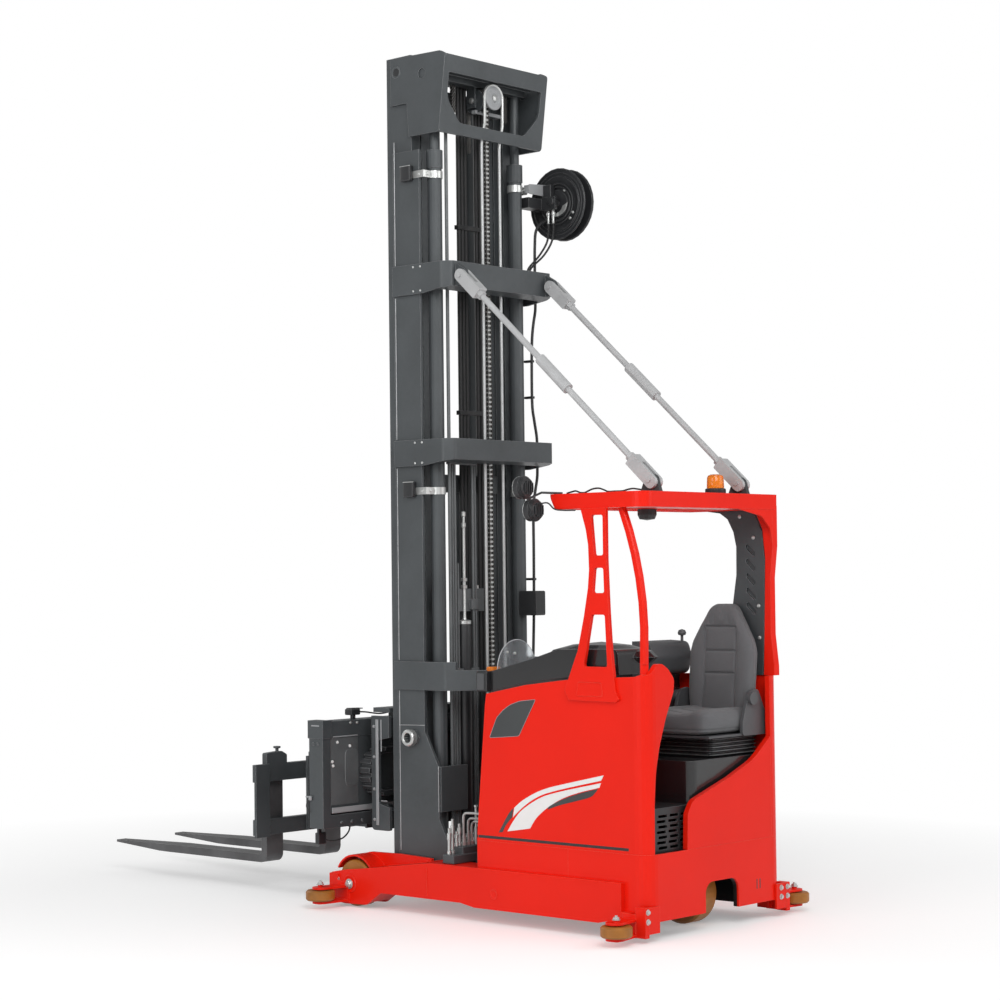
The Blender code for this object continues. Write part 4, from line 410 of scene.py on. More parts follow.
def slab(bm, outline, plane, low, high, edge=0.0):
    """A flat outline in a plane (XZ, YZ or XY) as a slab between two levels, with chamfered rims."""
    axes = {"XZ": (0, 2, 1), "YZ": (1, 2, 0), "XY": (0, 1, 2)}[plane]
    low, high = sorted((low, high))
    points = [Vector(p[:2]) for p in outline]
    turn = sum(a.cross(b) for a, b in zip(points, points[1:] + points[:1]))
    levels = [(low, 0.0), (high, 0.0)]
    if edge:
        levels = [(low, edge), (low + edge, 0.0), (high - edge, 0.0), (high, edge)]
    rings = []
    for level, inset in levels:
        ring = []
        for i, here in enumerate(points):
            back = (here - points[i - 1]).normalized()
            ahead = (points[(i + 1) % len(points)] - here).normalized()
            normal = (back + ahead).orthogonal().normalized()
            moved = here + normal * (inset if turn >= 0 else -inset)
            place = dict(zip(axes, (*moved, level)))
            ring.append(at(place[0], place[1], place[2]))
        rings.append(ring)
    loft(bm, rings)


def block(bm, first, second, edge=0.002):
    """A block from two opposite corners, with rounded upright edges and chamfered rims."""
    low = [min(pair) for pair in zip(first, second)]
    high = [max(pair) for pair in zip(first, second)]
    slab(bm, rounded(box_corners(low, high), edge * 1.6, 3), "XY", low[2], high[2], edge)


def turned(bm, profile, place, axis=UP, sides=24, start=0.0, close=False):
    """A solid of revolution about an axis through place: profile is (radius, height)."""
    turn = Vector(axis).to_track_quat("Z", "Y").to_matrix()
    middle = at(*place)
    angles = [start + 2 * math.pi * k / sides for k in range(sides)]
    loft(bm, [[middle + turn @ Vector((radius * math.cos(a), radius * math.sin(a), height)) for a in angles]
              for radius, height in profile], close)


def tube(bm, path, radius, sides=8):
    """A tube along a path; radius is one number or one for each point."""
    path = [at(*p) for p in path]
    radii = [radius] * len(path) if isinstance(radius, (int, float)) else radius
    side = Vector((0.3, 0.2, 0.93))
    rings = []
    for i, point in enumerate(path):
        ahead = (path[min(i + 1, len(path) - 1)] - path[max(i - 1, 0)]).normalized()
        side = (side - ahead * side.dot(ahead)).normalized()
        up = ahead.cross(side)
        rings.append([point + radii[i] * (side * math.cos(2 * math.pi * k / sides)
                                          + up * math.sin(2 * math.pi * k / sides)) for k in range(sides)])
    loft(bm, rings)


def hose(bm, points, steps, radius):
    tube(bm, smooth_line(points, steps), radius)


def rim(bm, outline, radius):
    """A thin round bead along a closed outline."""
    tube(bm, outline + outline[:1], radius, 6)


def bolt(bm, place, axis, across=0.016):
    """A hexagon head on a washer, standing on place and facing along axis."""
    r = across / 2 / math.cos(math.pi / 6)
    base = 0.0022
    height = across * 0.42
    washer = [(r * 1.25, -0.0008), (r * 1.32, 0.0004), (r * 1.32, 0.0020), (r * 1.22, 0.0024)]
    turned(bm, washer, place, axis, 16)
    turned(bm, [(r, base), (r, base + height * 0.8), (r * 0.84, base + height)], place, axis, 6, 0.3)


def bead(bm, start, end, radius=0.0035, pitch=0.007):
    """A weld bead: overlapping ripples along a straight seam."""
    start, end = Vector(start), Vector(end)
    count = 2 * max(2, int((end - start).length / pitch))
    radii = []
    for i in range(count + 1):
        jitter = noise.noise(at(*start) * 3.0 + Vector((i * 0.37, 0, 0)))
        radii.append(radius * ((1.0 if i % 2 else 0.72) + 0.18 * jitter))
    tube(bm, [start.lerp(end, i / count) for i in range(count + 1)], radii, 6)


def bolts(name, table, across, finish, body="truck"):
    """Bolts from a table of (x, y, z, axis)."""
    make(name, [(bolt, row[:3], row[3], across) for row in table], "steel", finish, body, 30)


# Paint on the left panel

PANEL_FACE = 0.575         # y of the panel's outer face
PAINT_LOW = PANEL_FACE + 0.0001
PAINT_HIGH = PANEL_FACE + 0.0006

# Finish of each stripe, then its upper and lower edge, (x, z) from the front tail to the rear tip
STRIPES = {
    "stripe_upper": (WHITE_PAINT, [(0.883, 0.618), (0.827, 0.658), (0.740, 0.701), (0.655, 0.731),
                                   (0.542, 0.758), (0.276, 0.816)],
                     [(0.895, 0.566), (0.845, 0.607), (0.787, 0.647), (0.718, 0.683), (0.649, 0.707),
                      (0.514, 0.740), (0.293, 0.788)]),
    "stripe_lower": (WHITE_PAINT, [(0.934, 0.491), (0.893, 0.546), (0.846, 0.596), (0.787, 0.636),
                                   (0.718, 0.672), (0.650, 0.697), (0.514, 0.730), (0.294, 0.776)],
                     [(0.775, 0.516), (0.754, 0.546), (0.731, 0.573), (0.685, 0.610), (0.628, 0.646),
                      (0.543, 0.687), (0.431, 0.722), (0.305, 0.752)]),
    "stripe_front_shadow": (DARK_PAINT, [(0.996, 0.481), (0.957, 0.538), (0.921, 0.587), (0.889, 0.617)],
                            [(0.967, 0.485), (0.949, 0.516), (0.925, 0.543), (0.900, 0.566)]),
    "stripe_rear_shadow": (DARK_PAINT, [(0.655, 0.625), (0.634, 0.643), (0.543, 0.683), (0.431, 0.718),
                                        (0.313, 0.747)],
                           [(0.651, 0.622), (0.572, 0.648), (0.471, 0.673), (0.366, 0.701), (0.327, 0.730)]),
}
# Corners of the blank badge plate, (x, z)
BADGE = [(1.052, 0.975), (0.845, 0.992), (0.726, 1.185), (0.839, 1.173), (0.905, 1.152), (0.955, 1.122),
         (1.000, 1.082)]


def add_panel_paint():
    for name, (finish, *edges) in STRIPES.items():
        upper, lower = (smooth_line(edge, 5) for edge in edges)
        make(name, [(slab, upper + lower[::-1], "XZ", PAINT_LOW, PAINT_HIGH)], None, finish)
    outline = rounded(BADGE, 0.012)
    make("badge_plate", [(slab, outline, "XZ", PAINT_LOW, PANEL_FACE + 0.0022, 0.0008)], None, DARK_PAINT)
    make("badge_rim", [(rim, [(x, PANEL_FACE + 0.0020, z) for x, z in outline], 0.0014)], None, LIGHT_GREY)
    # A black strip laid in the groove under the panel: painted shade in the shadow gap.
    groove = (block, (0.122, PANEL_FACE - 0.0058, 0.4456), (1.142, PANEL_FACE - 0.0012, 0.4594), 0.001)
    make("groove_shade_strip", [groove], "black_plastic")


# Bolts and welds

GUIDE_X = (0.056, 2.167)
GUIDE_Y = 0.759
LOAD_X = 2.088
LOAD_Z = 0.128
LEG_FACE = 0.606           # y of the outriggers' outer faces
# Washer, nut and stud of an axle: profile and number of sides
GUIDE_NUT = (([(0.021, 0), (0.022, 0.001), (0.022, 0.003), (0.021, 0.004)], 20),
             ([(0.017, 0.003), (0.017, 0.012), (0.0145, 0.015)], 6),
             ([(0.007, 0.010), (0.007, 0.021), (0.0055, 0.023)], 12))
LOAD_NUT = (([(0.026, -0.001), (0.028, 0.001), (0.028, 0.004), (0.026, 0.005)], 24),
            ([(0.020, 0.004), (0.020, 0.015), (0.017, 0.018)], 6),
            ([(0.010, 0.012), (0.010, 0.024), (0.008, 0.026)], 16))
LOAD_BOSS = [(0.036, -0.001), (0.048, -0.001), (0.050, 0.002), (0.047, 0.005), (0.039, 0.005), (0.036, 0.003)]
PORT_BOSS = [(0.018, -0.001), (0.026, -0.001), (0.027, 0.002), (0.024, 0.004), (0.020, 0.003), (0.018, 0.001)]


def add_truck_bolts():
    table = [(-0.013, y, z, BACK) for y in (0.596, -0.596, -0.540) for z in (0.156, 0.108)]
    table += [(2.186, side * LEG_FACE, z, (0, side, 0)) for side in SIDES for z in (0.148, 0.090)]
    bolts("chassis_bolts", table, 0.020, BRIGHT)
    places = ((0.218, 2.132), (0.130, 2.017), (0.101, 1.650), (0.098, 1.480))
    bolts("pillar_bolts", [(x, -0.535, z, LEFT) for x, z in places], 0.014, BRIGHT)
    nuts = [(turned, profile, (x, side * GUIDE_Y, 0.1325), UP, sides)
            for x in GUIDE_X for side in SIDES for profile, sides in GUIDE_NUT]
    nuts += [(turned, profile, (LOAD_X, side * (LEG_FACE + 0.006), LOAD_Z), (0, side, 0), sides)
             for side in SIDES for profile, sides in LOAD_NUT]
    make("axle_nuts", nuts, "steel", BRIGHT, sharp=30)
    bosses = []
    for side in SIDES:
        y = side * LEG_FACE
        bosses += [(turned, LOAD_BOSS, (LOAD_X, y, LOAD_Z), (0, side, 0), 28),
                   (turned, PORT_BOSS, (1.006, y, 0.160), (0, side, 0), 24),
                   (bead, (1.493, y, 0.262), (1.493, y, 0.110), 0.004),
                   (bead, (1.500, side * (LEG_FACE - 0.002), 0.2885), (1.500, side * 0.462, 0.2885))]
    make("leg_bosses", bosses, "body_red", sharp=40)


RAIL_FACE = 0.430          # y of the mast's cheek plates
RAIL_SEAM_X = 1.860
RAIL_SEAMS = ((0.315, 1.196), (1.366, 2.432), (2.592, 3.385), (3.566, 4.262))


def add_mast_welds():
    beads = []
    for side in SIDES:
        y = side * (RAIL_FACE + 0.0005)
        beads += [(bead, (RAIL_SEAM_X, y, low), (RAIL_SEAM_X, y, high)) for low, high in RAIL_SEAMS]
        beads += [(bead, (RAIL_SEAM_X, y, 1.006), (1.668, y, 1.010), 0.003),
                  (bead, (1.5665, y, 0.790), (1.5665, y, 0.540))]
    make("mast_welds", beads, "mast_grey", WELD_HIGHLIGHT, sharp=60)


CYL_X = 1.640
CYL_Y = 0.335
STRAP_IN = 0.0405          # radii of the strap round a lift cylinder
STRAP_OUT = 0.0445
SOCKET_RING = [(0.027, -0.030), (0.027, 0.002), (0.031, 0.006), (0.041, 0.006), (0.0465, 0.000),
               (0.0465, -0.030)]


def add_cylinder_clamps():
    """Bright straps that hold the lift cylinders to the cheeks, with a dark cable block on the outside."""
    straps = []
    blocks = []
    screws = []
    for side in SIDES:
        near = side * (RAIL_FACE + 0.0004)
        far = side * (RAIL_FACE + 0.0044)
        web = side * (RAIL_FACE + 0.004)
        for z in (2.302, 4.062):
            low = z - 0.020
            high = z + 0.020
            straps += [(turned, [(STRAP_IN, 0), (STRAP_OUT, 0), (STRAP_OUT, 0.040), (STRAP_IN, 0.040)],
                        (CYL_X, side * CYL_Y, low), UP, 32, 0.0, True),
                       (block, (1.630, side * (CYL_Y + 0.030), low), (1.636, web, high), 0.001),
                       (block, (1.632, near, low), (1.715, far, high), 0.001)]
            blocks.append((block, (1.712, near, z - 0.034), (1.790, side * (RAIL_FACE + 0.032), z + 0.052),
                           0.005))
            screws += [(bolt, (1.6295, side * 0.402, z), BACK), (bolt, (1.668, far, z), (0, side, 0)),
                       (tube, [(x, side * (RAIL_FACE + 0.028), z + 0.050) for x in (1.790, 1.712)], 0.003, 6)]
    make("cylinder_straps", straps, "steel", BRIGHT)
    make("cable_blocks", blocks, "black_plastic")
    make("strap_bolts", screws, "steel", BRIGHT, sharp=30)
    rings = [(turned, SOCKET_RING, (1.757, side * (RAIL_FACE + 0.046), 0.940), (0, side, 0), 24, 0.0, True)
             for side in SIDES]
    make("socket_rings", rings, "steel", BRIGHT, sharp=30)


# Mast head

def leaf_chain(bm, place, length, width=0.030, pitch=0.019, plates=4):
    """A hanging leaf chain: rows of plates on pins, in the plane X, from place down."""
    x, y, top = place
    for i in range(int(length / pitch)):
        z = top - i * pitch
        for k in range(plates):
            middle = y + (k - (plates - 1) / 2) * width / plates
            high = z - (pitch / 2 if k % 2 else 0.0)
            outline = rounded(box_corners((x - 0.009, high), (x + 0.009, high - pitch * 0.92)), 0.005, 2)
            slab(bm, outline, "XZ", middle - 0.0026, middle + 0.0026)
        turned(bm, [(0.0042, -width * 0.62), (0.0042, width * 0.62)], (x, y, z - pitch * 0.25), LEFT, 8)


CHAIN_X = 1.553            # middle of the lift chain's rear run
CHAIN_FOOT = 0.420
CHAIN_PITCH = 0.0254
CHAIN_LINKS = 162
CHAIN_ROLLER = [(0.0045, -0.0175), (0.0045, -0.0125), (0.0075, -0.0120), (0.0078, 0.0), (0.0075, 0.0120),
                (0.0045, 0.0125), (0.0045, 0.0175)]
# Corners of a link's side plate, across and up from its roller
LINK_CORNERS = ((-0.0095, -0.004), (-0.007, CHAIN_PITCH / 2), (-0.0095, CHAIN_PITCH + 0.004),
                (0.0095, CHAIN_PITCH + 0.004), (0.007, CHAIN_PITCH / 2), (0.0095, -0.004))


def add_lift_chain():
    """Rollers and side plates of the lift chain's rear run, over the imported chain."""
    rollers = []
    plates = []
    for index in range(CHAIN_LINKS):
        z = CHAIN_FOOT + CHAIN_PITCH * index
        rollers.append((turned, CHAIN_ROLLER, (CHAIN_X, 0, z), LEFT, 10))
        near = 0.0145 if index % 2 else 0.0128
        outline = rounded([(CHAIN_X + across, z + up) for across, up in LINK_CORNERS], 0.004, 1)
        plates += [(slab, outline, "XZ", side * near, side * (near + 0.0018)) for side in SIDES]
    make("lift_chain_rollers", rollers, "steel", BRIGHT, "middle_mast", 40)
    make("lift_chain_plates", plates, "steel", CHAIN_STEEL, "middle_mast", 30)


LINE_FOOT = 0.30
# y, radius and top of the thin lines beside the left lift cylinder
SIDE_LINES = ((0.284, 0.0100, 4.36), (0.262, 0.0065, 2.555), (0.243, 0.0080, 2.555), (0.222, 0.0065, 1.90),
              (0.098, 0.0080, 2.555), (0.078, 0.0065, 2.555))
SPEED_ROD = (1.603, 0.170, 0)
DAMPER_TUBE = [(0.034, 0.300), (0.036, 0.303), (0.036, 1.545), (0.033, 1.560)]
DAMPER_ROD = [(0.034, 1.560), (0.0375, 1.562), (0.0375, 1.580), (0.030, 1.584), (0.012, 1.586),
              (0.009, 1.600), (0.009, 2.100), (0.013, 2.104), (0.013, 2.124), (0.008, 2.128), (0.008, 2.160),
              (0.012, 2.164), (0.012, 2.186), (0.006, 2.190)]


def add_mast_lines():
    """Pressure lines and the centre damper inside the outer mast, fixed to its ties."""
    lines = [(tube, [(1.600, y, LINE_FOOT + (top - LINE_FOOT) * k / 12) for k in range(13)], radius)
             for y, radius, top in SIDE_LINES]
    make("pressure_lines", lines, "mast_grey", PLATE_GREY)
    brackets = [(block, (1.520, 0.272, z), (1.612, 0.298, z + 0.016)) for z in (2.50, 3.46, 4.32)]
    brackets += [(block, (1.585, 0.070, z), (1.612, 0.298, z + 0.016)) for z in (1.30, 2.450)]
    brackets += [(block, (1.608, 0.002, 1.632), (1.614, 0.272, 1.758), 0.001),
                 (block, (1.585, 0.060, 1.640), (1.612, 0.125, 1.700), 0.003)]
    make("line_brackets", brackets, "mast_grey", PLATE_GREY)
    make("damper_tube", [(turned, DAMPER_TUBE, SPEED_ROD, UP, 28)], "mast_grey", MATERIALS["black_plastic"])
    x, y, _ = SPEED_ROD
    rod = [(turned, DAMPER_ROD, SPEED_ROD, UP, 20)]
    rod += [(turned, [(0.019, 0), (0.019, 0.016), (0.016, 0.018)], (x, y, z), UP, 6) for z in (1.800, 1.760)]
    rod += [(turned, [(0.007, 0), (0.007, 0.018), (0.005, 0.020)], (1.611, y, 1.758), UP, 12)
            for y in (0.235, 0.052)]
    make("damper_rod", rod, "steel", BRIGHT, sharp=30)
    plugs = [(turned, [(0.0065, -0.001), (0.0065, 0.0015), (0.004, 0.0028)], (x, side * 0.4462, z),
              (0, side, 0), 12)
             for x in (1.706, 1.652) for z in (2.456, 2.569, 3.410, 3.544) for side in SIDES]
    make("tie_plugs", plugs, "steel", BRIGHT)


HEAD_WHEEL = (1.518, -0.026, 4.530)
EYE_R = 0.0279             # of the lifting eyes in the head's sides
PIPE_Y = (0.048, -0.100)
PIPE_FOOT = ((1.546, 4.250), (1.540, 4.300), (1.520, 4.380))     # x and z of a pipe below the wheel
WHEEL_CAP = [(0.017, 0.004), (0.018, 0.006), (0.018, 0.012), (0.012, 0.016), (0.004, 0.017)]
WHEEL = [(0.066, -0.005), (0.068, -0.004), (0.068, -0.003), (0.062, 0.0), (0.068, 0.003), (0.068, 0.004),
         (0.066, 0.005), (0.046, 0.005), (0.044, 0.003), (0.026, 0.003), (0.024, 0.006), (0.010, 0.006)]


def add_head_wheel():
    """The hose wheel in the head's window, with the two bright lines led over it."""
    y = HEAD_WHEEL[1]
    route = [(x, PIPE_Y[0], z) for x, z in PIPE_FOOT]
    route += arc(HEAD_WHEEL, (PIPE_Y[0] - PIPE_Y[1]) / 2, (1, 2), range(0, 181, 12))
    route += [(x, PIPE_Y[1], z) for x, z in reversed(PIPE_FOOT)]
    make("head_lines", [(tube, route, 0.0085, 10), (turned, WHEEL_CAP, HEAD_WHEEL, BACK)], "steel", BRIGHT)
    make("head_wheel", [(turned, WHEEL, HEAD_WHEEL, BACK, 48)], "steel", LIGHT_GREY, sharp=30)
    flange = [(block, (1.5245, y - 0.020, 4.500), (1.5300, y + 0.020, 4.692), 0.001),
              (block, (1.5250, -0.352, 4.610), (1.5310, 0.352, 4.692), 0.001)]
    flange += [(turned, [(EYE_R, 0.0), (EYE_R, 0.004), (EYE_R * 0.5, 0.0045)],
                (1.640, side * (RAIL_FACE - 0.010), 4.620), (0, side, 0)) for side in SIDES]
    make("head_flange", flange, "mast_grey")


HEAD_CHAIN_Y = (0.170, -0.262)
PIN_RIM = [(0.022, -0.002), (0.034, -0.002), (0.035, 0.001), (0.031, 0.003), (0.026, 0.002), (0.022, 0.000)]


def add_mast_head():
    make("head_chains", [(leaf_chain, (1.650, y, 4.594), 0.170) for y in HEAD_CHAIN_Y],
         "steel", CHAIN_STEEL, "middle_mast", 30)
    fasteners = []
    for y in HEAD_CHAIN_Y:
        fasteners += [(turned, [(0.007, 0), (0.007, 0.030), (0.0055, 0.032)], (1.650, y, 4.634), UP, 12),
                      (turned, [(0.014, 0.001), (0.014, 0.010), (0.012, 0.012)], (1.650, y, 4.634), UP, 6)]
    fasteners += [(turned, [(0.017, 0), (0.017, 0.008), (0.012, 0.011), (0.004, 0.011)],
                   (1.622, side * 0.042, 4.520), (0, side, 0), 20) for side in SIDES]
    make("head_fasteners", fasteners, "steel", BRIGHT, "middle_mast", 30)
    bar = [(block, (1.598, -0.190, 4.446), (1.606, 0.040, 4.466), 0.001)]
    bar += [(block, (1.605, y - 0.010, 4.446), (1.628, y + 0.010, 4.466), 0.001) for y in (-0.170, 0.028)]
    make("hose_guide_bar", bar, "steel", LIGHT_GREY, "middle_mast")
    rims = []
    pins = []
    for side in SIDES:
        where = ((1.838, side * RAIL_FACE, 4.655), (0, side, 0))
        rims.append((turned, PIN_RIM, *where, 28))
        pins.append((turned, [(0.024, -0.002), (0.024, 0.0008), (0.010, 0.0012)], *where))
    make("rail_pin_rims", rims, "mast_grey")
    make("rail_pins", pins, "black_plastic")


# Hose reel

REEL = (1.500, -0.590, 3.985)
REEL_FACE = REEL[1] + 0.046
REEL_ARM = [(-0.384, 4.036), (-0.384, 4.092), (-0.545, 4.104), (-0.585, 4.104), (-0.585, 4.034),
            (-0.545, 4.034)]
REEL_FITTING = [(0.010, 0), (0.010, 0.012), (0.0125, 0.013), (0.0125, 0.026), (0.010, 0.027), (0.008, 0.050),
                (0.0085, 0.052), (0.0085, 0.076), (0.0075, 0.078)]
# The reel's cable down the mast's right cheek, past the ties
REEL_DROP = [(1.560, -0.560, 3.900), (1.584, -0.510, 3.880), (1.598, -0.470, 3.830), (1.600, -0.460, 3.740),
             (1.600, -0.4575, 3.620), (1.600, -0.4575, 3.480), (1.600, -0.4575, 3.370),
             (1.600, -0.440, 3.290), (1.598, -0.424, 3.200), (1.598, -0.418, 3.050), (1.598, -0.418, 2.820),
             (1.599, -0.436, 2.720), (1.600, -0.4575, 2.620), (1.600, -0.4575, 2.515),
             (1.600, -0.4575, 2.405), (1.599, -0.438, 2.320),
             (1.598, -0.418, 2.220), (1.598, -0.416, 1.950), (1.598, -0.412, 1.650), (1.598, -0.405, 1.460),
             (1.598, -0.400, 1.352)]


def add_reel():
    x, y, z = REEL
    hub = [(block, (1.512, REEL_FACE, z - 0.040), (1.572, REEL_FACE + 0.040, z + 0.112), 0.004),
           (turned, [(0.030, 0), (0.030, 0.020), (0.022, 0.032), (0.012, 0.034)],
            (x, REEL_FACE + 0.030, z + 0.010), LEFT)]
    for radius, lift in ((0.100, 0.0425), (0.118, 0.0425), (0.182, 0.0385), (0.196, 0.0385)):
        hub.append((rim, arc((x, y + lift, z), radius, (0, 2), [360 * k / 56 for k in range(56)]), 0.0035))
    make("reel_hub_block", hub, "black_plastic")
    crescent = arc((x, z + 0.012), 0.086, (0, 1), [280 - 92 * k / 12 for k in range(13)])
    crescent += arc((x, z - 0.004), 0.048, (0, 1), [195 + 70 * k / 8 for k in range(9)])
    plate = [(slab, crescent, "XZ", REEL_FACE + 0.002, REEL_FACE + 0.005, 0.001)]
    plate += [(bolt, (across, REEL_FACE - 0.008, up), LEFT, 0.012)
              for across, up in ((1.446, 4.060), (1.406, 3.894), (1.385, 3.925))]
    make("reel_plate", plate, "steel", BRIGHT)
    make("reel_arm", [(slab, rounded(REEL_ARM, 0.008), "YZ", 1.572, 1.578, 0.001),
                      (block, (1.577, -0.392, 4.040), (1.612, -0.384, 4.088), 0.001)], "steel", LIGHT_GREY)
    fittings = []
    hoses = []
    for x, low_y in ((1.549, -0.405), (1.512, -0.425)):
        y = REEL_FACE + 0.018
        fittings.append((turned, REEL_FITTING, (x, y, z - 0.036), (0, 0, -1), 12))
        route = [(x, y, 3.872), (x, y, 3.830), (x + 0.012, -0.520, 3.760), (x + 0.030, -0.470, 3.680),
                 (1.598, low_y, 3.610), (1.604, low_y + 0.012, 3.566)]
        hoses.append((hose, route, 7, 0.0062))
    make("reel_fittings", fittings, "steel", BRIGHT, sharp=30)
    make("reel_lines", hoses + [(hose, REEL_DROP, 5, 0.0085)], "rubber")
    clips = [(block, (1.588, -0.4690, z), (1.612, -0.4460, z + 0.012)) for z in (3.520, 3.425, 2.550, 2.470)]
    clips += [(block, (1.587, y - 0.012, z), (1.650, y + 0.012, z + 0.014))
              for z, y in ((3.060, -0.418), (2.850, -0.418), (2.150, -0.418), (1.800, -0.414))]
    make("line_clips", clips, "black_plastic")


# Traverse frame and carriage

PLATE_X = 2.204            # rear face of the traverse frame's back plate
COLUMN_Y = 0.700
SENSOR_CABLE = [(2.235, 0.400, 1.066), (2.225, 0.340, 1.062), (2.190, 0.240, 1.050), (2.120, 0.150, 1.080),
                (2.060, 0.080, 1.099)]
LOWER_LOOP = [(2.255, 0.440, 0.432), (2.256, 0.452, 0.392), (2.258, 0.500, 0.358), (2.262, 0.580, 0.350),
              (2.270, 0.622, 0.362)]
CATCH_WIRE = [(2.300, 0.7045, 0.600), (2.318, 0.712, 0.575), (2.322, 0.712, 0.545), (2.300, 0.7045, 0.520)]
SENSOR_LID = [(0.372, 1.083), (0.372, 1.088), (0.462, 1.090), (0.462, 1.083)]


def add_traverse_trim():
    body = "carriage"
    window = rounded([(0.526, 0.655), (0.526, 0.862), (0.424, 0.862), (0.424, 0.655)], 0.035, 5)
    make("back_plate_panel", [(block, (PLATE_X - 0.0016, 0.424, 0.556), (PLATE_X + 0.0006, 0.640, 0.930),
                               0.0006),
                              (slab, window, "YZ", PLATE_X - 0.0046, PLATE_X - 0.0010, 0.0014)],
         "mast_grey", PLATE_GREY, body)
    places = ((0.586, 0.905), (0.489, 0.880), (0.626, 0.799), (0.620, 0.776))
    bolts("back_plate_bolts", [(PLATE_X - 0.002, y, z, BACK) for y, z in places], 0.012, WHITE_PAINT, body)
    make("lower_wear_strip", [(block, (2.1925, -0.690, 0.512), (2.1995, 0.636, 0.543), 0.0015)],
         "steel", LIGHT_GREY, body)
    make("frame_highlights", [(block, (2.1965, 0.430, 0.9340), (2.1999, 0.620, 0.9410), 0.0008),
                              (block, (2.222, COLUMN_Y + 0.0045, 0.998), (2.286, COLUMN_Y + 0.0062, 1.006),
                               0.0005)],
         "steel", LIGHT_GREY, body)
    table = [(x, side * COLUMN_Y, 0.900, (0, side, 0)) for side in SIDES for x in (2.240, 2.275)]
    table += [(2.1995, y, 0.455, BACK) for y in (0.560, 0.480, 0.400)]
    bolts("column_bolts", table, 0.014, MATERIALS["mast_grey"], body)
    make("height_sensor", [(block, (2.214, 0.428, 1.0255), (2.236, 0.452, 1.052)),
                           (block, (2.205, 0.398, 1.050), (2.262, 0.470, 1.084), 0.004),
                           (slab, rounded(SENSOR_LID, 0.002), "YZ", 2.212, 2.256, 0.0006)],
         "black_plastic", body=body)
    bolts("sensor_bolts", [(2.1997, 0.484, 1.010, BACK), (2.1997, 0.432, 1.008, BACK)], 0.012, BRIGHT, body)
    make("frame_cables", [(hose, SENSOR_CABLE, 6, 0.0045), (hose, LOWER_LOOP, 6, 0.0045),
                          (hose, CATCH_WIRE, 6, 0.003)], "rubber", body=body)
    make("edge_sensor", [(block, (2.268, 0.612, 0.336), (2.300, 0.672, 0.402), 0.004),
                         (block, (2.276, 0.640, 0.398), (2.292, 0.664, 0.432))], "black_plastic", body=body)
    make("side_catch", [(block, (2.286, COLUMN_Y + 0.0005, 0.600), (2.330, COLUMN_Y + 0.014, 0.608), 0.0015),
                        (turned, [(0.009, -0.012), (0.010, -0.010), (0.010, 0.010), (0.009, 0.012)],
                         (2.295, COLUMN_Y + 0.009, 0.598), UP, 12)], "steel", LIGHT_GREY, body)
    strips = []
    for side in SIDES:
        for rear, front, low, high in ((2.030, 2.052, 0.440, 1.030), (2.004, 2.012, 0.852, 1.030),
                                       (1.962, 2.012, 0.574, 0.580)):
            strips.append((block, (rear, side * 0.4305, low), (front, side * 0.4335, high), 0.001))
        strips += [(bolt, (2.066, side * 0.430, z), (0, side, 0), 0.012)
                   for z in (0.470, 0.640, 0.820, 0.990)]
    make("carriage_strips", strips, "steel", LIGHT_GREY, body)


# Hydraulic lines on the valve block

VALVE_X = 1.360
VALVE_TOP = 0.3755         # where the fittings stand on the manifold
VALVE_STEP = 0.3375        # and on its lower part, towards the panel
# y, top of the bend and reach towards the body
BENT_LINES = ((0.456, 0.552, 0.115), (0.420, 0.520, 0.100), (0.392, 0.500, 0.095), (0.366, 0.480, 0.090))
# y and top of the upright couplings
COUPLINGS = ((0.557, 0.478), (0.531, 0.525), (0.500, 0.455), (0.478, 0.495), (0.438, 0.440), (0.404, 0.452))


def add_valve_lines():
    x = VALVE_X
    make("valve_manifold", [(block, (1.318, 0.346, 0.2887), (1.402, 0.580, 0.338), 0.004),
                            (block, (1.325, 0.352, 0.336), (1.395, 0.500, 0.376), 0.004)], "mast_grey")
    tubes = []
    nuts = []
    for y, top, reach in BENT_LINES:
        route = [(x, y, 0.330), (x, y, 0.390), (x, y, top - 0.030), (x - 0.008, y, top - 0.008),
                 (x - 0.030, y, top), (x - reach, y, top), (x - reach - 0.030, y - 0.010, top - 0.020),
                 (x - reach - 0.040, y - 0.030, 0.430)]
        tubes.append((hose, route, 5, 0.0068))
        nuts.append((turned, [(0.0125, 0), (0.0125, 0.020), (0.0100, 0.022), (0.0100, 0.036),
                              (0.0085, 0.038)],
                     (x, y, VALVE_TOP), UP, 6))
    for y, top in COUPLINGS:
        base = VALVE_STEP if y > 0.500 else VALVE_TOP
        height = top - base
        nuts.append((turned, [(0.0120, 0), (0.0120, 0.018), (0.0085, 0.020), (0.0085, height * 0.55),
                              (0.0115, height * 0.56), (0.0115, height * 0.80), (0.0070, height * 0.83),
                              (0.0070, height - 0.002), (0.0050, height)], (x + 0.012, y, base), UP, 12))
    nuts.append((turned, [(0.006, 0), (0.006, 0.200), (0.010, 0.202), (0.010, 0.212), (0.006, 0.214)],
                 (1.345, 0.374, VALVE_TOP), UP, 10))
    for i in range(5):
        y = 0.340 - i * 0.045
        nuts += [(turned, [(0.011, 0), (0.011, 0.006), (0.009, 0.008), (0.006, 0.009), (0.006, 0.020),
                           (0.004, 0.022)],
                  (1.325, y, 0.4255), UP, 12), (bolt, (1.398, y, 0.4255), UP, 0.012)]
    make("valve_lines", tubes, "steel", BRIGHT)
    make("valve_nuts", nuts, "steel", BRIGHT, sharp=30)


# Hood, shield and lamps

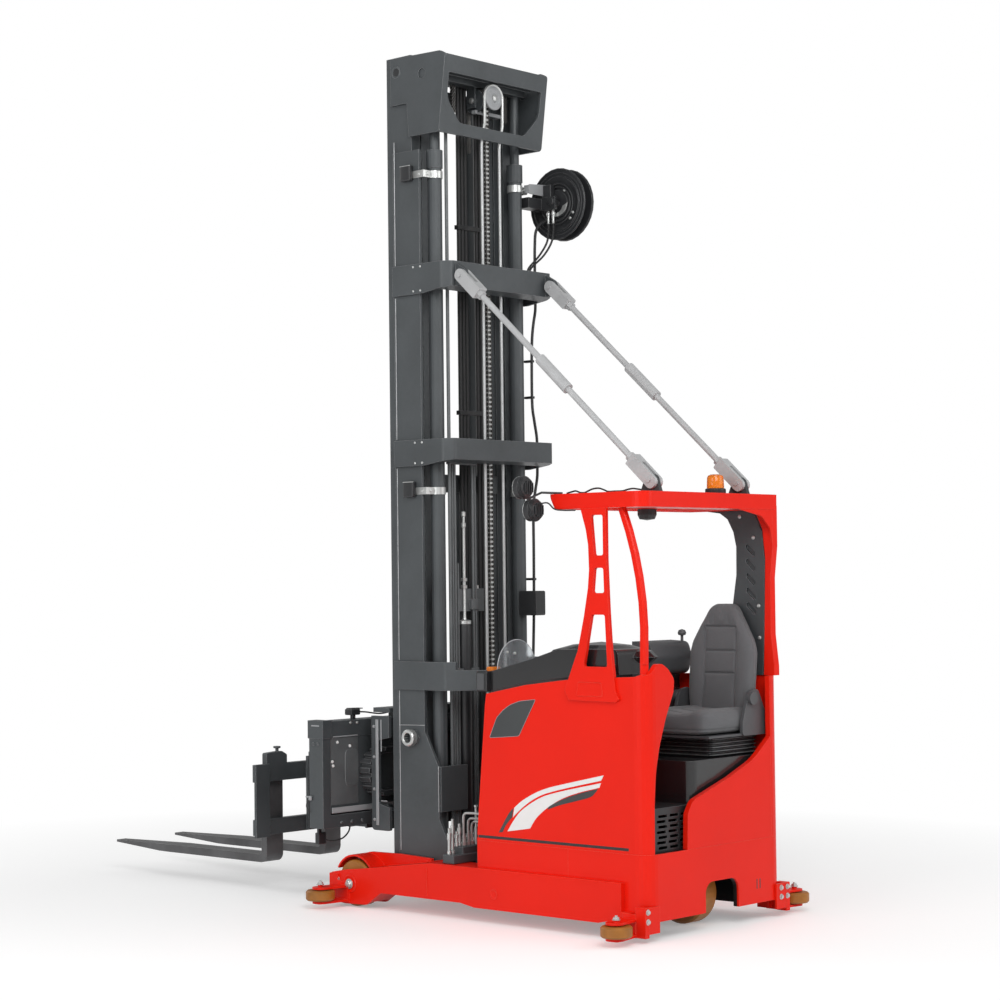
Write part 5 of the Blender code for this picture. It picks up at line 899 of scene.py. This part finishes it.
def add_hood_trim():
    buttons = [(turned, [(radius, 0), (radius, 0.003), (radius * 0.85, 0.005), (radius * 0.5, 0.005)],
                (1.1502, 0.486, z), AHEAD) for z, radius in ((1.286, 0.015), (1.246, 0.011))]
    make("box_buttons", buttons, "steel", BRIGHT)
    make("marker_lamp", [(block, (1.082, 0.4565, 1.3225), (1.126, 0.516, 1.345), 0.003)], "amber_lens")
    outline = rounded(box_corners((1.094, 1.226), (1.142, 1.312)), 0.006)
    make("box_side_plate", [(slab, outline, "XZ", 0.5702, 0.5722, 0.0008)], "grey_plastic")
    nuts = []
    for y, z in ((0.402, 1.419), (0.342, 1.411), (0.388, 1.300), (0.262, 1.300)):
        nuts += [(turned, [(0.008, 0), (0.008, 0.003), (0.005, 0.006), (0.002, 0.0065)], (1.0814, y, z),
                  AHEAD, 16),
                 (turned, [(0.008, 0), (0.008, 0.002), (0.005, 0.005), (0.002, 0.0055)], (1.0745, y, z), BACK,
                  16)]
    make("shield_nuts", nuts, "steel", BRIGHT)
    arch = arc((1.0783, 0.325, 1.330), 0.1545, (1, 2), range(180, -1, -5))
    make("shield_rim", [(tube, arch, 0.0022, 6)], "clear_plastic", LENS)


def ribbed_dome(bm, centre, outer, tall):
    """The beacon's dome, with a shallow groove on every third of its sides."""
    count = 72
    rings = []
    for radius, height in ((0.80, 0.030), (0.84, 0.036), (0.82, 0.060), (0.80, tall - 0.018),
                           (0.70, tall - 0.006), (0.45, tall)):
        ring = []
        for k in range(count):
            angle = 2 * math.pi * k / count
            rib = 0.012 if (k % 3 == 0 and height < tall - 0.01) else 0.0
            r = outer * (radius - rib)
            ring.append(at(*centre) + Vector((r * math.cos(angle), r * math.sin(angle), height)))
        rings.append(ring)
    loft(bm, rings)


def add_beacon():
    """The beacon as a black foot and a ribbed amber dome, in place of its plain solid."""
    low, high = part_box("beacon")
    centre = ((low[0] + high[0]) / 2 + CENTRE_X, (low[1] + high[1]) / 2, low[2])
    outer = (high[0] - low[0]) / 2
    foot = [(outer * 0.99, 0.0002), (outer, 0.002), (outer, 0.026), (outer * 0.94, 0.030),
            (outer * 0.85, 0.031)]
    make("beacon_foot", [(turned, foot, centre, UP, 40)], "black_plastic")
    dome = make("beacon_dome", [(ribbed_dome, centre, outer, high[2] - low[2])], "amber_lens")
    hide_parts("beacon")


LAMP_X = 0.660
LAMP_CENTRES = ((0.729, 2.278), (0.651, 2.164))
LAMP_LENS = [(0.045, 0.0165), (0.045, 0.0195), (0.030, 0.0225), (0.010, 0.0235)]
LAMP_RIM = [(0.0455, 0.0185), (0.0505, 0.0245), (0.0575, 0.0245), (0.0585, 0.0215)]
LAMP_WIRE = [(0.640, 0.651, 2.190), (0.600, 0.610, 2.200), (0.570, 0.590, 2.168), (0.520, 0.580, 2.160),
             (0.440, 0.578, 2.158)]


def add_work_lamps():
    """Lens, reflector rim and cooling ribs of the two forward lamps."""
    ribs = []
    for y, z in LAMP_CENTRES:
        for k in range(4):
            height = -0.031 + 0.0062 * k
            radius = 0.040 + (height + 0.034) / 1.5
            ribs.append((turned, [(radius - 0.004, height), (radius + 0.006, height),
                                  (radius + 0.006, height + 0.0026), (radius - 0.004, height + 0.0026)],
                                  (LAMP_X, y, z), AHEAD, 28))
        for k in range(-2, 3):
            middle = y + k * 0.014
            reach = math.sqrt(0.037 ** 2 - (k * 0.014) ** 2)
            ribs.append((block, (LAMP_X - 0.046, middle - 0.002, z - reach),
                         (LAMP_X - 0.0335, middle + 0.002, z + reach), 0.0008))
    make("lamp_lenses", [(turned, LAMP_LENS, (LAMP_X, y, z), AHEAD, 32) for y, z in LAMP_CENTRES],
         "clear_plastic", LENS)
    make("lamp_rims", [(turned, LAMP_RIM, (LAMP_X, y, z), AHEAD, 32) for y, z in LAMP_CENTRES],
         "steel", BRIGHT)
    make("lamp_ribs", ribs, "black_plastic")
    make("lamp_wire", [(hose, LAMP_WIRE, 5, 0.004)], "rubber")


# The lamp's cable on the guard's roof, held down between its bows
ROOF_CABLE = [(0.560, 0.500, 2.2500), (0.530, 0.500, 2.2560), (0.500, 0.500, 2.2600), (0.470, 0.500, 2.2510),
              (0.440, 0.500, 2.2500), (0.415, 0.500, 2.2580), (0.385, 0.500, 2.2670), (0.345, 0.500, 2.2690),
              (0.310, 0.500, 2.2590), (0.285, 0.500, 2.2505), (0.240, 0.500, 2.2500), (0.190, 0.500, 2.2500),
              (0.160, 0.498, 2.2560), (0.128, 0.495, 2.2600), (0.096, 0.490, 2.2560), (0.066, 0.480, 2.2500)]


def add_guard_trim():
    """The pressed rectangle in the pillar's foot, the cable on the roof, and thin black sheets on the rear
    that paint the shade in its slots.
    """
    outline = rounded([(0.262, 1.213), (0.434, 1.213), (0.424, 1.283), (0.270, 1.283)], 0.014)
    make("pillar_pressing", [(rim, [(x, 0.5905, z) for x, z in outline], 0.0028)], "body_red")
    make("roof_cable", [(hose, ROOF_CABLE, 6, 0.0045)], "rubber")
    # Thin black sheets on the rear face: painted shade where the slots are.
    slots = []
    for y in (-0.341, -0.368):
        outline = rounded(box_corners((y - 0.0035, 0.170), (y + 0.0035, 0.222)), 0.003)
        slots.append((slab, outline, "YZ", -0.0008, 0.001))
    make("rear_slot_shades", slots, "black_plastic")


# Seat

SEAT_X = 0.285
CUSHION = (-0.452, -0.002, 0.984, 1.116)      # rear, front, bottom and top
BACK_FOOT = 1.005
BACK_HEAD = 1.664
BACK_HALF_WIDTH = ((1.005, 0.170), (1.06, 0.192), (1.18, 0.214), (1.40, 0.216), (1.46, 0.200), (1.545, 0.148),
                   (1.60, 0.112), (1.64, 0.088), (1.664, 0.060))
BACK_SEAMS = (1.540, 1.411, 1.292)
PANEL_HALF = 0.100         # half width between the backrest's upright seams
CUSHION_HALF = 0.118       # and between the cushion's long seams
CUSHION_SEAMS = (-0.10, -0.22)
SIDE_SEAM = 1.012
SEAM_WIDTH = 0.004         # of the strip that is pinned along a seam
RING_SIDES = 56
SIM_FRAMES = 20
SIM_TRAVEL = 0.022
CLOTH = {"quality": 4, "mass": 0.25, "use_pressure": True, "uniform_pressure_force": 4.0,
         "tension_stiffness": 12.0, "compression_stiffness": 12.0, "bending_stiffness": 0.6,
         "vertex_group_mass": "seams"}


def between(table, value):
    """Straight interpolation in a table of (place, value)."""
    for (a, first), (b, second) in zip(table, table[1:]):
        if value <= b:
            return first + (second - first) * (value - a) / (b - a)
    return table[-1][1]


def power(value, exponent):
    return math.copysign(abs(value) ** exponent, value)


def closing(i, count):
    """Ring i of count as a place from -1 to 1, with the rings closer together at both ends."""
    t = -1.0 + 2 * i / (count - 1)
    return math.copysign(1 - (1 - abs(t)) ** 1.5, t)


def back_front(z):
    """y of the backrest's front face at a height."""
    return -0.383 - 0.065 * (z - BACK_FOOT) / (BACK_HEAD - BACK_FOOT)


def back_rings():
    rings = []
    for i in range(41):
        end = closing(i, 41)
        z = (BACK_FOOT + BACK_HEAD) / 2 + (BACK_HEAD - BACK_FOOT) / 2 * end
        shrink = max(0.02, 1 - abs(end) ** 26) ** 0.35
        half = between(BACK_HALF_WIDTH, z) * (0.75 + 0.25 * shrink)
        thick = 0.036 * shrink
        middle = back_front(z) - 0.040
        ring = []
        for k in range(RING_SIDES):
            a = 2 * math.pi * k / RING_SIDES
            x = half * power(math.cos(a), 0.45)
            depth = thick * power(math.sin(a), 0.62)
            if depth > 0:
                depth += shrink * (0.013 * math.exp(-((abs(x) - half * 0.80) / 0.034) ** 2)
                                   - 0.006 * math.exp(-(x / 0.11) ** 4))
            ring.append(at(SEAT_X + x, middle + depth, z))
        rings.append(ring)
    return rings


def cushion_rings():
    rear, front, low, high = CUSHION
    rings = []
    for i in range(33):
        end = closing(i, 33)
        y = (rear + front) / 2 + (front - rear) / 2 * end
        shrink = max(0.02, 1 - abs(end) ** 9) ** 0.30
        half = 0.207 * (0.66 + 0.34 * shrink)
        tall = (high - low) / 2 * (0.30 + 0.70 * shrink)
        middle = (low + high) / 2 - (0.010 * (1 - shrink) if y > -0.2 else 0)
        ring = []
        for k in range(RING_SIDES):
            a = 2 * math.pi * k / RING_SIDES
            x = half * power(math.cos(a), 0.36)
            z = tall * power(math.sin(a), 0.42)
            if z > 0:
                z += shrink * (0.003 - 0.026 * math.exp(-(x / 0.105) ** 4))
            ring.append(at(SEAT_X + x, y, middle + z))
        rings.append(ring)
    return rings


def keep_result(obj, modifier):
    """Makes what the modifier gives the object's own mesh, and takes the modifier off."""
    bpy.context.view_layer.update()
    graph = bpy.context.evaluated_depsgraph_get()
    mesh = bpy.data.meshes.new_from_object(obj.evaluated_get(graph))
    obj.modifiers.remove(modifier)
    old = obj.data
    obj.data = mesh
    bpy.data.meshes.remove(old)


def with_modifier(obj, kind, **values):
    modifier = obj.modifiers.new("step", kind)
    for key, value in values.items():
        setattr(modifier, key, value)
    keep_result(obj, modifier)


def inflate(obj, pinned):
    """Lets the cloth fill out between its seams, then caps how far it has gone."""
    group = obj.vertex_groups.new(name="seams")
    group.add([v.index for v in obj.data.vertices if pinned(v.co)], 1.0, "REPLACE")
    rest = [v.co.copy() for v in obj.data.vertices]
    modifier = obj.modifiers.new("cloth", "CLOTH")
    for key, value in CLOTH.items():
        setattr(modifier.settings, key, value)
    modifier.settings.effector_weights.gravity = 0.0
    modifier.collision_settings.use_collision = False
    modifier.point_cache.frame_start = 1
    modifier.point_cache.frame_end = SIM_FRAMES
    for step in range(1, SIM_FRAMES + 1):
        bpy.context.scene.frame_set(step)
    keep_result(obj, modifier)
    for vertex, before in zip(obj.data.vertices, rest):
        moved = vertex.co - before
        if moved.length > SIM_TRAVEL:
            vertex.co = before + moved.normalized() * SIM_TRAVEL
    bpy.context.scene.frame_set(1)


def stitch(obj, depth_at):
    """Presses seams into the cloth: depth_at gives the depth of a seam at a point."""
    mesh = obj.data
    normals = [v.normal.copy() for v in mesh.vertices]
    for vertex, normal in zip(mesh.vertices, normals):
        depth = depth_at(vertex.co, normal)
        if depth:
            vertex.co = vertex.co - normal * depth


def groove(distance, depth=0.0095, width=0.0060):
    return depth * math.exp(-(distance / width) ** 2)


def back_seam_depth(place, normal):
    x, z = place.x + CENTRE_X - SEAT_X, place.z
    if normal.y < 0.45 or place.y < back_front(z) - 0.03:
        if abs(normal.y) < 0.45:
            return groove(place.y - (back_front(z) - 0.040), 0.004)
        return 0.0
    depth = 0.0
    if abs(x) < PANEL_HALF + 0.002:
        for seam in BACK_SEAMS:
            depth = max(depth, groove(z - seam))
    if z < BACK_SEAMS[0] + 0.003:
        widen = PANEL_HALF + 0.02 * max(0.0, (1.20 - z) / 0.2)
        depth = max(depth, groove(abs(x) - widen, 0.007))
    return depth


def cushion_seam_depth(place, normal):
    x, y, z = place.x + CENTRE_X - SEAT_X, place.y, place.z
    if normal.z > 0.45:
        depth = groove(abs(x) - CUSHION_HALF, 0.005) if y < CUSHION_SEAMS[0] else 0.0
        if abs(x) < CUSHION_HALF + 0.002:
            depth = max(depth, *(groove(y - seam) for seam in CUSHION_SEAMS))
        return depth
    if abs(normal.z) < 0.6 and z < 1.04:
        return groove(z - SIDE_SEAM, 0.004)
    return 0.0


def add_padded(name, rings, pinned, seam_depth, node_name):
    bm = bmesh.new()
    loft(bm, rings)
    piece = new_piece(name, bm, "seat_fabric")
    with_modifier(piece, "REMESH", mode="VOXEL", voxel_size=0.0068, use_smooth_shade=True)
    inflate(piece, pinned)
    with_modifier(piece, "SUBSURF", levels=1, render_levels=1)
    stitch(piece, seam_depth)
    piece.data.shade_smooth()
    piece.data.materials.clear()
    piece.data.materials.append(MATERIALS["seat_fabric"])
    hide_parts(node_name)


def back_pinned(place):
    x = abs(place.x + CENTRE_X - SEAT_X)
    behind = place.y < back_front(place.z) - 0.045
    on_seam = any(abs(place.z - seam) < SEAM_WIDTH for seam in BACK_SEAMS) and x < PANEL_HALF
    return behind or on_seam or abs(x - PANEL_HALF) < SEAM_WIDTH and place.z < BACK_SEAMS[0]


def cushion_pinned(place):
    x = abs(place.x + CENTRE_X - SEAT_X)
    across = x < CUSHION_HALF and min(abs(place.y - seam) for seam in CUSHION_SEAMS) < SEAM_WIDTH
    return place.z < 1.02 or across or abs(x - CUSHION_HALF) < SEAM_WIDTH


# Corners of the folds under the seat, (x, y), and the heights of their beads
BELLOWS = rounded(box_corners((0.098, -0.512), (0.582, -0.088)), 0.050)
FOLD_Z = (0.8785, 0.8988, 0.9191, 0.9395, 0.9598)


def add_seat():
    make("bellows_beads", [(rim, [(x, y, z) for x, y in BELLOWS], 0.0030) for z in FOLD_Z],
         "rubber", PLATE_GREY)
    add_padded("seat_back_cloth", back_rings(), back_pinned, back_seam_depth, "seat_backrest")
    add_padded("seat_cushion_cloth", cushion_rings(), cushion_pinned, cushion_seam_depth, "seat_cushion")
    make("height_lever", [(hose, [(0.400, -0.098, 0.958), (0.470, -0.090, 0.950)], 4, 0.004)],
         "steel", BRIGHT)


# Camera, light and floor

def add_camera():
    yaw, pitch, roll = (math.radians(v) for v in (CAMERA_YAW, CAMERA_PITCH, CAMERA_ROLL))
    ahead = Vector((math.cos(yaw) * math.cos(pitch), math.sin(yaw) * math.cos(pitch), math.sin(pitch)))
    right = ahead.cross(Vector((0, 0, 1))).normalized()
    up = right.cross(ahead)
    across = right * math.cos(roll) + up * math.sin(roll)
    upward = -right * math.sin(roll) + up * math.cos(roll)
    data = bpy.data.cameras.new("camera")
    data.lens = CAMERA_LENS
    data.sensor_width = 36.0
    data.clip_end = 200.0
    camera = bpy.data.objects.new("camera", data)
    camera.matrix_world = Matrix((
        (across[0], upward[0], -ahead[0], CAMERA_PLACE[0]),
        (across[1], upward[1], -ahead[1], CAMERA_PLACE[1]),
        (across[2], upward[2], -ahead[2], CAMERA_PLACE[2]),
        (0, 0, 0, 1)))
    bpy.context.scene.collection.objects.link(camera)
    bpy.context.scene.camera = camera


def add_area_light(name, place, target, size, watts):
    data = bpy.data.lights.new(name, "AREA")
    data.shape = "RECTANGLE"
    data.size, data.size_y = size
    data.energy = watts
    lamp = bpy.data.objects.new(name, data)
    lamp.location = place
    lamp.rotation_euler = (Vector(target) - Vector(place)).to_track_quat("-Z", "Y").to_euler()
    bpy.context.scene.collection.objects.link(lamp)


WORLD_LIGHT = 0.42         # strength of the world where it only lights


def add_world():
    """White to the camera and through lenses, dimmer as a light."""
    world = bpy.data.worlds.new("studio")
    bpy.context.scene.world = world
    world.use_nodes = True
    tree = world.node_tree
    path = node(tree, "LightPath").outputs
    seen = maths(tree, "MAXIMUM", path["Is Camera Ray"], path["Is Transmission Ray"])
    look = {"Color": (1, 1, 1, 1), "Strength": ramp(tree, seen, WORLD_LIGHT, 1.0, 0.0, 1.0)}
    dress(tree, tree.nodes["Background"], look)


FLOOR_LIFT = 0.28          # light that the floor adds where it is looked at
FLOOR_FADE = (2.2, 5.2)    # distances from the middle over which the floor turns to plain white


def add_floor():
    mesh = bpy.data.meshes.new("floor")
    bm = bmesh.new()
    bmesh.ops.create_circle(bm, cap_ends=True, radius=30.0, segments=64)
    bm.to_mesh(mesh)
    bm.free()
    floor = bpy.data.objects.new("floor", mesh)
    bpy.context.scene.collection.objects.link(floor)
    material, tree, shader = new_material("floor_pale")
    dress(tree, shader, {"Base Color": (0.80, 0.80, 0.80, 1), "Roughness": 0.7})
    path = node(tree, "LightPath").outputs
    seen = maths(tree, "MAXIMUM", path["Is Camera Ray"], path["Is Glossy Ray"])
    glow = node(tree, "Emission", Strength=maths(tree, "MULTIPLY", seen, FLOOR_LIFT)).outputs["Emission"]
    near = node(tree, "AddShader", shader.outputs["BSDF"], glow).outputs["Shader"]
    length = node(tree, "VectorMath", object_coordinates(tree), operation="LENGTH").outputs["Value"]
    far = maths(tree, "MULTIPLY", ramp(tree, length, 0.0, 1.0, *FLOOR_FADE), seen)
    white = node(tree, "Emission").outputs["Emission"]
    blend = node(tree, "MixShader", far, near, white).outputs["Shader"]
    tree.links.new(blend, tree.nodes["Material Output"].inputs["Surface"])
    mesh.materials.append(material)


# Place, size and power of each lamp; all of them look at the truck's middle
LIGHTS = {
    "key": ((-7.5, 5.5, 7.0), (5.0, 5.0), 470),
    "side": ((-1.0, 10.0, 4.0), (5.0, 6.0), 270),
    "rear": ((-9.0, -4.0, 5.0), (5.0, 5.0), 200),
    "front": ((9.0, 2.0, 5.5), (5.0, 5.0), 170),
}


def add_studio():
    add_camera()
    add_world()
    add_floor()
    for name, (place, size, watts) in LIGHTS.items():
        add_area_light(name, place, (0, 0, 2.0), size, watts)
    bpy.context.scene.view_settings.view_transform = "Standard"


finish_cad_nodes()
add_panel_paint()
add_truck_bolts()
add_mast_welds()
add_cylinder_clamps()
add_mast_head()
add_lift_chain()
add_mast_lines()
add_head_wheel()
add_reel()
add_traverse_trim()
add_valve_lines()
add_hood_trim()
add_beacon()
add_work_lamps()
add_guard_trim()
add_seat()
add_studio()
